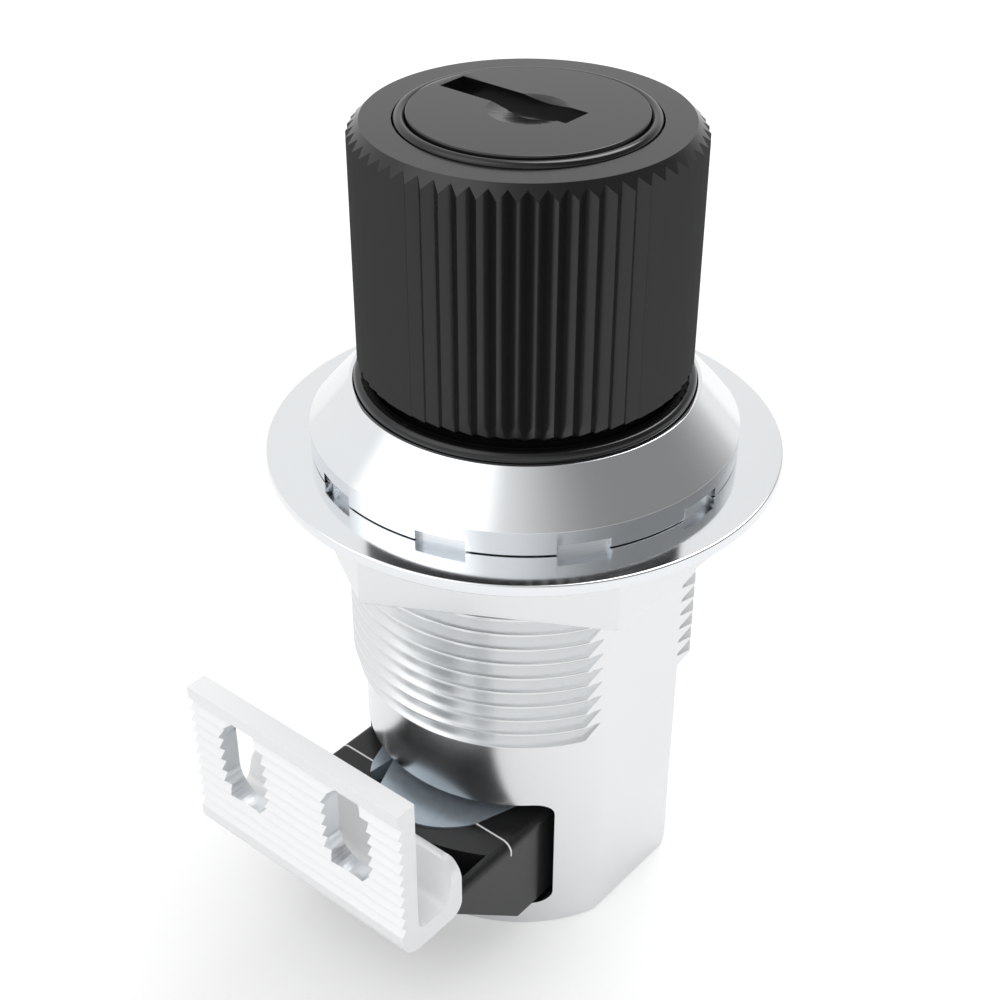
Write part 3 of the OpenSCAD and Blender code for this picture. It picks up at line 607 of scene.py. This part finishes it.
# %% Hub and bores
HUB_R, REST_R, REST_Z = 10.7, 11.7, 5.2
hub = turned("hub", [(0, hub_z0), (HUB_R, hub_z0), (HUB_R, REST_Z), (REST_R, REST_Z),
                     (REST_R, grip_z0 + 1), (0, grip_z0 + 1)], 144)
combine(knob, hub, "UNION")
WELL_R, THROAT_R, LOCK_R, FACE_R = 4.6, 2.35, 6.55, 9.6
THROAT_LOW, THROAT_TOP, FACE_LOW = 12.05, 14.05, 23.4
bores = turned("bores", [
    (0, hub_z0 - 1), (WELL_R, hub_z0 - 1), (WELL_R, THROAT_LOW), (THROAT_R, THROAT_LOW),
    (THROAT_R, THROAT_TOP), (LOCK_R, THROAT_TOP), (LOCK_R, FACE_LOW), (FACE_R, FACE_LOW),
    (FACE_R, knob_top + 1), (0, knob_top + 1)], 144)
combine(knob, bores, "DIFFERENCE")

# %% Slot for the locking slide, and screw holes
DOG_HALF = 2.6
dog_slot = box_between("dog_slot", (-DOG_HALF, -4.2, hub_z0 - 1), (DOG_HALF, 12.5, 4.65))
combine(knob, dog_slot, "DIFFERENCE")
screw_hole = post("screw_hole", 1, hub_z0 - 1, 7.1, x=7.5, sides=24)
holes = joined([turned_copy(screw_hole, 45 + 90 * i) for i in range(4)])
bpy.data.objects.remove(screw_hole)
combine(knob, holes, "DIFFERENCE")
soften(knob, 0.05, 32)
paint(knob, "knob_black")
place(knob, "turning", "knob")

# %% [markdown]
# ## Lock plug
# The plug is the turning face of the lock. It has a keyway that runs past the middle, and a shallow
# cone at the centre that leads the key in. A turned blank is cut by both, and its tail carries a
# small crank pin for the locking slide.

# %% Turned plug with its crank
face_z = span("plug_seal")[1].z
shoulder_z, head_z0, body_z0, tail_z0 = 26.44, 23.45, 14.15, 4.65
head_r, neck_r, body_r, tail_r = 9.55, 8.62, 6.5, 2.2
clip_low, clip_top, clip_r = 11.2, 12.0, 1.85
plug = turned("lock_plug_turned", eased(
    [(0, tail_z0), (tail_r, tail_z0), (tail_r, clip_low), (clip_r, clip_low), (clip_r, clip_top),
     (tail_r, clip_top), (tail_r, body_z0), (body_r, body_z0), (body_r, head_z0), (head_r, head_z0),
     (head_r, shoulder_z), (neck_r, shoulder_z), (neck_r, face_z), (0, face_z)],
    [0, 0.1, 0, 0, 0, 0, 0, 0.3, 0, 0.2, 0.15, 0, 0.12, 0]), 144)
CRANK_AT = math.radians(225)
crank = post("crank", 0.7, 3.1, tail_z0 + 0.2, math.cos(CRANK_AT), math.sin(CRANK_AT), 32)
combine(plug, crank, "UNION")
print("plug face at", round(face_z, 3))

# %% Keyway and dimple
key_x0, key_x1, key_y0, key_y1 = -7.8, 3.7, -0.5, 2.1
keyway = box_between("keyway", (key_x0, key_y0, head_z0 + 0.6), (key_x1, key_y1, face_z + 1))
combine(plug, keyway, "DIFFERENCE")
deep = box_between("deep_keyway", (-5.1, key_y0, body_z0 + 2), (key_x1, key_y1, head_z0 + 1))
combine(plug, deep, "DIFFERENCE")
DIMPLE_R, DIMPLE_DEPTH = 3, 0.6
dimple = turned("dimple", [(0, face_z - DIMPLE_DEPTH), (DIMPLE_R, face_z), (DIMPLE_R, face_z + 1),
                           (0, face_z + 1)], 96)
combine(plug, dimple, "DIFFERENCE")
soften(plug, 0.05, 38)


def on_dimple_rim(*ends):
    return all(abs(v.z - face_z) < 0.01 and abs(v.xy.length - DIMPLE_R) < 0.02 for v in ends)


keep_crisp(plug, on_dimple_rim)
paint(plug, "plug_black")
place(plug, "plug", "lock_plug")

# %% [markdown]
# ## Plug seal
# A rolled rubber ring sits in the step between the plug's face and the knob. It is a torus with a
# flat where it rests on the step. It stands above the knob and stays just under the plug's face.

# %% Plug seal
ring_r = 0.43
ring_mid, ring_z = neck_r + 0.01 + ring_r, shoulder_z + ring_r - 0.04
nothing_selected()
bpy.ops.mesh.primitive_torus_add(major_segments=144, minor_segments=32, major_radius=ring_mid * MM,
                                 minor_radius=ring_r * MM, location=(0, 0, ring_z * MM))
plug_seal = bpy.context.active_object
plug_seal.name = plug_seal.data.name = "plug_seal_ring"
bpy.ops.object.transform_apply(location=True, rotation=True, scale=True)
bpy.ops.object.mode_set(mode="EDIT")
bpy.ops.mesh.select_all(action="SELECT")
bpy.ops.mesh.bisect(plane_co=(0, 0, (shoulder_z + 0.01) * MM), plane_no=(0, 0, -1),
                    use_fill=True, clear_outer=True)
close_mesh(plug_seal)
smooth(plug_seal, 50)
paint(plug_seal, "seal_rubber")
place(plug_seal, "plug", "plug_seal")

# %% [markdown]
# ## Barrel with its thread
# The thread is a real helix here, so that each crest catches light as it climbs. A small ridge
# section is wound up, a turned limit trims both its ends, and the turned barrel takes it in. Two
# long flats are then milled off the sides, which keep the barrel from turning in the panel.

# %% Turned barrel body
low, high = span("barrel")
barrel_end, neck_h = low.z, high.z
CREST_R, BARREL_R, FLAT_X, PITCH = 14.3, 13.35, 12.35, 1.41
THREAD_END, LEAD = -19.4, 0.3
web_z, recess_z, bore_r = -4.0, 1.0, 10.8
groove_top, groove_low = -38.9, -39.7
bush_r, groove_r, recess_r, seat_r, rim_r = 5.52, 11.4, 11, 12.4, 13.9
root_r = CREST_R - 0.87
plain_z = THREAD_END - LEAD
barrel = turned("barrel_threaded", eased(
    [(bush_r, web_z), (bore_r, web_z), (bore_r, groove_top), (groove_r, groove_top),
     (groove_r, groove_low), (bore_r, groove_low), (bore_r, barrel_end), (BARREL_R, barrel_end),
     (BARREL_R, plain_z), (root_r, plain_z + 0.1), (root_r, -0.6), (rim_r, 0), (seat_r, 0),
     (seat_r, neck_h), (recess_r, neck_h), (recess_r, recess_z), (bush_r, recess_z)],
    [0, 0.3, 0, 0, 0, 0, 0.1, 0.1, 0, 0, 0, 0, 0, 0.1, 0.1, 0, 0]), 192)
print("barrel from", round(barrel_end, 2), "to", round(neck_h, 2))

# %% Thread ridge
BELOW, TURNS = 15.13, 16
upper_half = [(CREST_R, 0.05), (CREST_R - 0.03, 0.10), (root_r, 0.585), (root_r - 0.25, 0.66)]
ridge = trace("ridge", [(r, 0, -z) for r, z in reversed(upper_half)]
              + [(r, 0, z) for r, z in upper_half])
bpy.ops.mesh.select_all(action="SELECT")
bpy.ops.transform.translate(value=(0, 0, (0.5 - BELOW) * PITCH * MM))
wound(ridge, TURNS, PITCH, 96)
print("thread ridge", len(ridge.data.polygons), "faces")

# %% Thread ends and flats
inside_r = 12.9
limit = turned("limit", [(inside_r, plain_z + 0.1), (BARREL_R + 0.05, plain_z + 0.1),
                         (CREST_R + 0.05, THREAD_END), (CREST_R + 0.05, -0.8), (13.4, -0.02),
                         (inside_r, -0.02)], 192)
combine(ridge, limit, "INTERSECT")
combine(barrel, ridge, "UNION")
mill = joined([box_between("mill_left", (-20, -20, barrel_end - 1), (-FLAT_X, 20, -0.01)),
               box_between("mill_right", (FLAT_X, -20, barrel_end - 1), (20, 20, -0.01))])
combine(barrel, mill, "DIFFERENCE")

# %% Window for the bolt, and notches for the locking slide
x0, z0, x1, z1 = -10.4, -37.8, 10.4, -26.4
corners = eased([(x0, z0), (x1, z0), (x1, z1), (x0, z1)], [1.2] * 4, 6)
window = pulled("window", [(x, -20, z) for x, z in corners], (0, 17.3, 0))
combine(barrel, window, "DIFFERENCE")
dog_notch = box_between("dog_notch", (-DOG_HALF, 9.7, 2.9), (DOG_HALF, 14, neck_h + 1))
combine(barrel, turned_copy(dog_notch, -60), "DIFFERENCE")
combine(barrel, dog_notch, "DIFFERENCE")
smooth(barrel, 28)
paint(barrel, "barrel_plated")
place(barrel, "housing", "barrel")

# %% [markdown]
# ## Panel nut
# A plain hexagon nut. Its sides are flat and satin, with edges that are barely broken, and its bore
# runs on the thread's crests.

# %% Hex nut
low, high = span("hex_nut")
nut = post("hex_nut_milled", (high.y - low.y) / 2, low.z, high.z, sides=6)
corner = max(nut.data.vertices, key=lambda v: v.co.y).co
lean = math.degrees(math.atan2(corner.y, corner.x))
nut.data.transform(Matrix.Rotation(math.radians(90 - lean), 4, "Z"))
combine(nut, post("nut_bore", CREST_R + 0.02, low.z - 1, high.z + 1, sides=144), "DIFFERENCE")
soften(nut, 0.08, 40)
paint(nut, "nut_plated")
place(nut, "housing", "hex_nut")

# %% [markdown]
# ## Bolt
# The bolt is one black moulding. Its long top edges are rounded, its nose slopes on the underside so
# that it can slam shut over the keeper, and the space between its two cheeks is cored out. The side
# view is drawn and pulled across, and everything else is cut from that block.

# %% Bolt blank
low, high = span("bolt")
bolt_w, bolt_z0, bolt_top, reach, bolt_rear = high.x, low.z, high.z, low.y, high.y
NOSE_ANGLE, LINE_Y = 41.4, -12.86
tip_top = bolt_top - 0.25
tip_z0 = tip_top - 0.5
slope = (tip_z0 - bolt_z0) / math.tan(math.radians(NOSE_ANGLE))
side = eased([(bolt_rear, bolt_z0), (bolt_rear, bolt_top), (LINE_Y, bolt_top), (reach, tip_top),
              (reach, tip_z0), (reach + slope, bolt_z0)], [0.2, 0.2, 0, 0.18, 0.12, 0.3])
bolt = pulled("bolt_moulded", [(-bolt_w, y, z) for y, z in side], (2 * bolt_w, 0, 0))
front = eased([(-bolt_w, bolt_z0 - 1), (bolt_w, bolt_z0 - 1), (bolt_w, bolt_top),
               (-bolt_w, bolt_top)], [0, 0, 0.9, 0.9], 8)
combine(bolt, pulled("front", [(x, reach - 1, z) for x, z in front], (0, 30, 0)), "INTERSECT")
BACK_R, BACK_Y = 10.4, -5
rear = turned("rear", [(0, bolt_z0 - 1), (BACK_R, bolt_z0 - 1), (BACK_R, bolt_top + 1),
                       (0, bolt_top + 1)], 144)
rear.data.transform(Matrix.Translation((0, BACK_Y * MM, 0)))
wide = box_between("wide", (-bolt_w - 1, reach - 1, bolt_z0 - 1.5),
                   (bolt_w + 1, BACK_Y, bolt_top + 1.5))
combine(rear, wide, "UNION")
combine(bolt, rear, "INTERSECT")
print("bolt blank", len(bolt.data.polygons), "faces")

# %% Pocket for the metal plate
plate_low, plate_high = span("bolt_plate")
NOSE_R, NOSE_Y, NECK_Y = 6.52, -9.85, -6.2


def plate_outline(grow):
    """The plate from above, a little larger where a gap is wanted round it."""
    rear_y = plate_high.y + grow
    half = plate_high.x + grow
    nose = [(x, y + NOSE_Y) for x, y in arc((0, 0), NOSE_R + grow, 208, 332, 32)]
    return [(half, NECK_Y), (half, rear_y), (-half, rear_y), (-half, NECK_Y)] + nose


def plate_cutter(name, outline, below=1):
    """Cuts upwards through the plate's thickness, from so far below it."""
    return pulled(name, [(x, y, plate_low.z - below) for x, y in outline], (0, 0, 4))


combine(bolt, plate_cutter("pocket", plate_outline(0.03), 0.02), "DIFFERENCE")

# %% Core between the cheeks
CHEEK, CORE_R, FLOOR = 0.85, 17.3, 1.8
inner = bolt_w - CHEEK
climb = math.tan(math.radians(NOSE_ANGLE))
core_y = -CORE_R + 4
deep_z = tip_z0 + (reach + CORE_R - 4) * climb + FLOOR
front_z = tip_z0 + climb + FLOOR
core = pulled("core", [(-inner, core_y, deep_z), (-inner, core_y, bolt_top + 4),
                       (-inner, reach - 1, bolt_top + 4), (-inner, reach - 1, front_z)],
              (2 * inner, 0, 0))
combine(core, post("core_back", CORE_R, bolt_z0 - 1, bolt_top + 5, sides=192), "DIFFERENCE")
combine(bolt, core, "DIFFERENCE")

# %% Spring bores and the slot that rides on the end cap's rail
SPRING_X, SPRING_Z, SPRING_BORE = 4.9, plate_low.z - 2.9, 2.2
pocket_front = bolt_rear - 11.6
for side_x in (-SPRING_X, SPRING_X):
    bore = pulled("spring_bore", [(side_x + x, pocket_front, SPRING_Z + z)
                                  for x, z in arc((0, 0), SPRING_BORE, 0, 345, 23)], (0, 14, 0))
    combine(bolt, bore, "DIFFERENCE")
rail_z, SLIM, WIDE = bolt_z0 - 0.1, 1.75, 2.75
lip_z, roof_z = rail_z + 0.85, rail_z + 2.15
slot_outline = [(-SLIM, rail_z - 1), (SLIM, rail_z - 1), (SLIM, lip_z), (WIDE, lip_z),
                (WIDE, roof_z), (-WIDE, roof_z), (-WIDE, lip_z), (-SLIM, lip_z)]
rail_slot = pulled("rail_slot", [(x, -11, z) for x, z in slot_outline], (0, 14, 0))
combine(bolt, rail_slot, "DIFFERENCE")
soften(bolt, 0.10, 32)
paint(bolt, "bolt_plastic")
place(bolt, "sliding", "bolt")

# %% [markdown]
# ## Witness line and bolt plate
# A fine pale line runs straight across the bolt's top and down its edges: it marks how far the bolt
# must stand out. It is a thin strip let into the moulding, and the plate parts it into two. The grey
# plate is stamped steel, which takes the pull of the drive pin in its slot.

# %% Witness line
LINE_W, RISE, LINE_END = 0.15, 0.02, 1.25
over = eased([(bolt_w + RISE, bolt_top - LINE_END), (bolt_w + RISE, bolt_top + RISE),
              (-bolt_w - RISE, bolt_top + RISE), (-bolt_w - RISE, bolt_top - LINE_END)],
             [0, 0.92, 0.92, 0], 8)
side_in, top_in = bolt_w - 0.3, bolt_top - 0.3
under = eased([(-side_in, bolt_top - LINE_END), (-side_in, top_in), (side_in, top_in),
               (side_in, bolt_top - LINE_END)], [0, 0.6, 0.6, 0], 8)
line_band = pulled("witness_line", [(x, LINE_Y - LINE_W / 2, z) for x, z in over + under],
                   (0, LINE_W, 0))
combine(line_band, plate_cutter("plate_gap", plate_outline(0.02)), "DIFFERENCE")
smooth(line_band, 40)
paint(line_band, "bolt_plastic", LINE_WHITE)
place(line_band, "sliding")

# %% Bolt plate
plate = pulled("bolt_plate_stamped", [(x, y, plate_low.z) for x, y in plate_outline(0)],
               (0, 0, plate_high.z - plate_low.z))
slot_corners = eased([(-6.6, -9.05), (-2.73, -9.05), (-2.73, -0.95), (-6.6, -0.95)], [0.6] * 4, 6)
combine(plate, plate_cutter("drive_slot", slot_corners), "DIFFERENCE")
relief = [(-4.65, -11.3), (-5.1, -15.4), (-2.4, -16.9)]
combine(plate, plate_cutter("relief", relief), "DIFFERENCE")
RIVET_R, RIVET_HEAD_R, RIVET_X = 0.82, 1.42, 0.6
for rivet_y in (-9.4, -1.6):
    sink = turned("sink", [(0, plate_low.z - 1), (RIVET_R, plate_low.z - 1),
                           (RIVET_R, plate_high.z - 0.75), (RIVET_HEAD_R, plate_high.z - 0.15),
                           (RIVET_HEAD_R, plate_high.z + 1), (0, plate_high.z + 1)], 32)
    sink.data.transform(Matrix.Translation((RIVET_X * MM, rivet_y * MM, 0)))
    combine(plate, sink, "DIFFERENCE")
soften(plate, 0.06, 32)
paint(plate, "plate_steel")
place(plate, "sliding", "bolt_plate")

# %% [markdown]
# ## Keeper
# The keeper is a short extrusion of J section. Fine saw teeth on its outer face bite into a toothed
# washer, so that it stays where its two slotted holes let it be set. It is drawn from the side. The
# inside of the hook and the top face get a lighter white, painted light for the light that the
# shaded hook and the top don't get here. The slots show bare plating.

# %% Keeper section
low, high = span("keeper")
half, outer, hook_face, foot_z, top_z = high.x, low.y, high.y, low.z, high.z
SHEET, TEETH, TOOTH, TOOTH_DROP, TOOTH_PITCH = 1.8, 10, 0.5, 0.6, 1.12
inner_face, floor_z, hook_top = outer + SHEET, foot_z + SHEET, foot_z + 5.45
first_z = top_z - 1.1
saw = []
for i in range(TEETH):
    z = first_z - i * TOOTH_PITCH
    saw += [(outer, z), (outer + TOOTH, z - TOOTH_DROP)]
section = ([(inner_face, top_z), (outer, top_z)] + saw + [(outer, first_z - TEETH * TOOTH_PITCH)]
           + arc((outer + 2, foot_z + 2), 2, 180, 270, 10)
           + arc((hook_face - 1.2, foot_z + 1.2), 1.2, 270, 360, 10)
           + [(hook_face, hook_top - 0.4)]
           + arc((hook_face - 0.4, hook_top - 0.4), 0.4, 0, 180, 10)[1:]
           + arc((hook_face - 2.4, floor_z + 0.9), 0.9, -12, -90, 8)
           + arc((inner_face + 1, floor_z + 1), 1, 270, 180, 8))
keeper = pulled("keeper_extruded", [(-half, y, z) for y, z in section], (2 * half, 0, 0))

# %% Slots, and rounded corners of the hook
SLOT_W, SLOT_H, SLOT_X, SLOT_TOP = 4.7, 8.1, 5.475, top_z - 1.45
for side_x in (-SLOT_X, SLOT_X):
    r = SLOT_W / 2
    hole = (arc((side_x, SLOT_TOP - r), r, 0, 180, 24)
            + arc((side_x, SLOT_TOP - SLOT_H + r), r, 180, 360, 24))
    slot = pulled("slot", [(x, outer - 1, z) for x, z in hole], (0, SHEET + 2, 0))
    combine(keeper, slot, "DIFFERENCE")
    s = 1 if side_x > 0 else -1
    trim = ([(s * (half + 1), hook_top + 1), (s * (half - 2), hook_top + 1)]
            + arc((s * (half - 2), hook_top - 2), 2, 90, 90 - s * 90, 10)
            + [(s * (half + 1), hook_top - 2)])
    combine(keeper, pulled("trim", [(x, inner_face + 1.2, z) for x, z in trim],
                           (0, hook_face - inner_face, 0)), "DIFFERENCE")
soften(keeper, 0.06, 34)

# %% Bare slots, and painted light in the hook and on its top
paint(keeper, "keeper_plated")
keeper.data.materials.append(SLOT_CHROME)
keeper.data.materials.append(HOOK_AND_TOP_PAINTED_LIGHT)


def in_slot(point):
    x, y, z = point
    return (abs(abs(x) - SLOT_X) < SLOT_W / 2 + 0.02 and y < inner_face
            and SLOT_TOP - SLOT_H - 0.02 < z < SLOT_TOP + 0.02)


# Painted light: the top face and the inside of the hook take the lighter white
for face in keeper.data.polygons:
    x, y, z = face.center / MM
    if in_slot((x, y, z)) and abs(face.normal.y) < 0.2:
        face.material_index = 1
    elif face.normal.z > 0.9 and z > top_z - 0.1:
        face.material_index = 2
    elif inner_face - 0.05 < y < hook_face - 0.3 and z < hook_top - 0.1 and face.normal.z > -0.2 \
            and abs(face.normal.x) < 0.5:
        face.material_index = 2
keep_crisp(keeper, lambda a, b: in_slot((a + b) / 2) and abs(a.x - b.x) < 0.01
           and abs(a.z - b.z) < 0.01)
place(keeper, "housing", "keeper")

# %% [markdown]
# ## Springs
# Each coil is wound from a round wire section, as the thread was. The spring lies along Y, so it is
# wound upright first and then laid down.

# %% Bolt springs
wire_r, COILS = 0.2, 11
for spring_name in ("bolt_spring_left", "bolt_spring_right"):
    low, high = span(spring_name)
    coil_r = (high.x - low.x) / 2 - wire_r
    length = high.y - low.y - 2 * wire_r
    spring = trace(spring_name + "_wound", [(coil_r + x, 0, z)
                                            for x, z in arc((0, 0), wire_r, 0, 330, 11)])
    wound(spring, COILS, length / COILS, 32)
    spring.data.transform(Matrix.Rotation(math.radians(-90), 4, "X"))
    middle = Vector(((low.x + high.x) / 2, low.y + wire_r, (low.z + high.z) / 2))
    spring.data.transform(Matrix.Translation(middle * MM))
    smooth(spring, 50)
    paint(spring, "spring_steel")
    place(spring, "housing", spring_name)

# %% [markdown]
# ## Floor
# The latch stands on a white floor. The floor glows faintly for the camera and for metal, so that it
# looks white in both, a little more further out. It gives the latch itself no extra light, and it
# keeps the latch's shadow.

# %% Floor
def ramp(tree, value, start, end, top=1.0):
    """0 up to start, then a smooth rise to top at end."""
    return add_node(tree, "ShaderNodeMapRange",
                    [("Value", value), ("From Min", start), ("From Max", end), ("To Max", top)],
                    interpolation_type="SMOOTHSTEP").outputs[0]


nothing_selected()
bpy.ops.mesh.primitive_plane_add(size=4, location=(0, 0, barrel_end * MM - 0.00005))
floor = bpy.context.active_object
floor.name = "floor"
floor_paint = bpy.data.materials.new("floor_white")
floor_paint.use_nodes = True
tree = floor_paint.node_tree
tree.nodes.clear()
ray = add_node(tree, "ShaderNodeLightPath")
spot = add_node(tree, "ShaderNodeTexCoord")
reach_out = add_node(tree, "ShaderNodeVectorMath", [(0, spot.outputs["Object"])], operation="LENGTH")
far_off = ramp(tree, reach_out.outputs["Value"], 0.10, 0.55, 0.17)
for_eye = maths(tree, "ADD", far_off, 0.26)
for_chrome = maths(tree, "ADD", far_off, 0.15)
seen = maths(tree, "MULTIPLY", ray.outputs["Is Camera Ray"], for_eye)
glow = maths(tree, "MULTIPLY_ADD", ray.outputs["Is Glossy Ray"], for_chrome, seen)
matt = add_node(tree, "ShaderNodeBsdfDiffuse", [("Color", (0.82, 0.82, 0.82, 1))])
light = add_node(tree, "ShaderNodeEmission", [("Strength", glow)])
total = add_node(tree, "ShaderNodeAddShader", [(0, matt.outputs[0]), (1, light.outputs[0])])
add_node(tree, "ShaderNodeOutputMaterial", [("Surface", total.outputs[0])])
floor.data.materials.append(floor_paint)
print("floor at", round(floor.location.z / MM, 2))

# %% [markdown]
# ## World and lamps
# Chrome shows what is round it, so the world decides how it looks. To metal it is white with one
# grey side, which models the cone of the collar from white to grey, a brighter side and a bright
# patch overhead. To everything else it is even and soft, and two large lamps give the latch its form
# and its shadow. The lamps aren't mirrored.

# %% World
world = bpy.data.worlds.new("studio")
bpy.context.scene.world = world
world.use_nodes = True
tree = world.node_tree
tree.nodes.clear()
ray = add_node(tree, "ShaderNodeLightPath")
way = add_node(tree, "ShaderNodeTexCoord")


def lobe(direction, start, end):
    """1 where the world lies in that direction, falling to 0 away from it."""
    near = add_node(tree, "ShaderNodeVectorMath",
                    [(0, way.outputs["Generated"]), (1, Vector(direction).normalized())],
                    operation="DOT_PRODUCT")
    return ramp(tree, near.outputs["Value"], start, end)


RIGHT, TOWARD = Vector((0.779, 0.627, 0)), Vector((0.627, -0.779, 0))
UP = Vector((0, 0, 1))
OVERHEAD = RIGHT * 0.30 - TOWARD * 0.42 + UP * 0.85
grey_side = lobe(RIGHT * 0.72 + TOWARD * 0.10 + UP * 0.68, 0.30, 0.97)
bright_side = lobe(RIGHT * -0.66 + TOWARD * 0.32 + UP * 0.68, 0.80, 0.99)
patch_overhead = lobe(OVERHEAD, 0.90, 0.985)
height = add_node(tree, "ShaderNodeSeparateXYZ", [("Vector", way.outputs["Generated"])])
above_floor = ramp(tree, height.outputs["Z"], 0.0, 0.16)

# %% What metal sees of the world, and what lights the rest
BASE, GREY, LIFT, PATCH, EVEN = 0.92, -0.66, 0.9, 6, 0.70
mirror_light = maths(tree, "MULTIPLY", grey_side, above_floor)
mirror_light = maths(tree, "MULTIPLY_ADD", mirror_light, GREY, BASE)
mirror_light = maths(tree, "MULTIPLY_ADD", bright_side, LIFT, mirror_light)
mirror_light = maths(tree, "MULTIPLY_ADD", patch_overhead, PATCH, mirror_light)
mirrored = maths(tree, "MAXIMUM", ray.outputs["Is Glossy Ray"], ray.outputs["Is Transmission Ray"])
plain = add_node(tree, "ShaderNodeMix", [("Factor", mirrored), (2, EVEN), (3, mirror_light)])
final = add_node(tree, "ShaderNodeMix", [("Factor", ray.outputs["Is Camera Ray"]),
                                         (2, plain.outputs[0]), (3, 1.0)])
sky = add_node(tree, "ShaderNodeBackground",
               [("Color", (1, 1, 1, 1)), ("Strength", final.outputs[0])])
add_node(tree, "ShaderNodeOutputWorld", [("Surface", sky.outputs[0])])
print("world nodes", len(tree.nodes))


# %% Soft lamps
def soft_lamp(name, direction, distance, size, watts):
    data = bpy.data.lights.new(name, "AREA")
    data.shape, data.size, data.energy = "DISK", size, watts
    lamp = bpy.data.objects.new(name, data)
    bpy.context.scene.collection.objects.link(lamp)
    away = Vector(direction).normalized()
    lamp.location = away * distance
    lamp.rotation_mode = "QUATERNION"
    lamp.rotation_quaternion = away.to_track_quat("Z", "Y")
    lamp.visible_glossy = False
    print(name, "lamp", watts, "W")


soft_lamp("key", OVERHEAD, 0.5, 0.34, 0.85)
soft_lamp("front", RIGHT * -0.25 + TOWARD * 0.60 + UP * 0.75, 0.6, 0.5, 0.85)
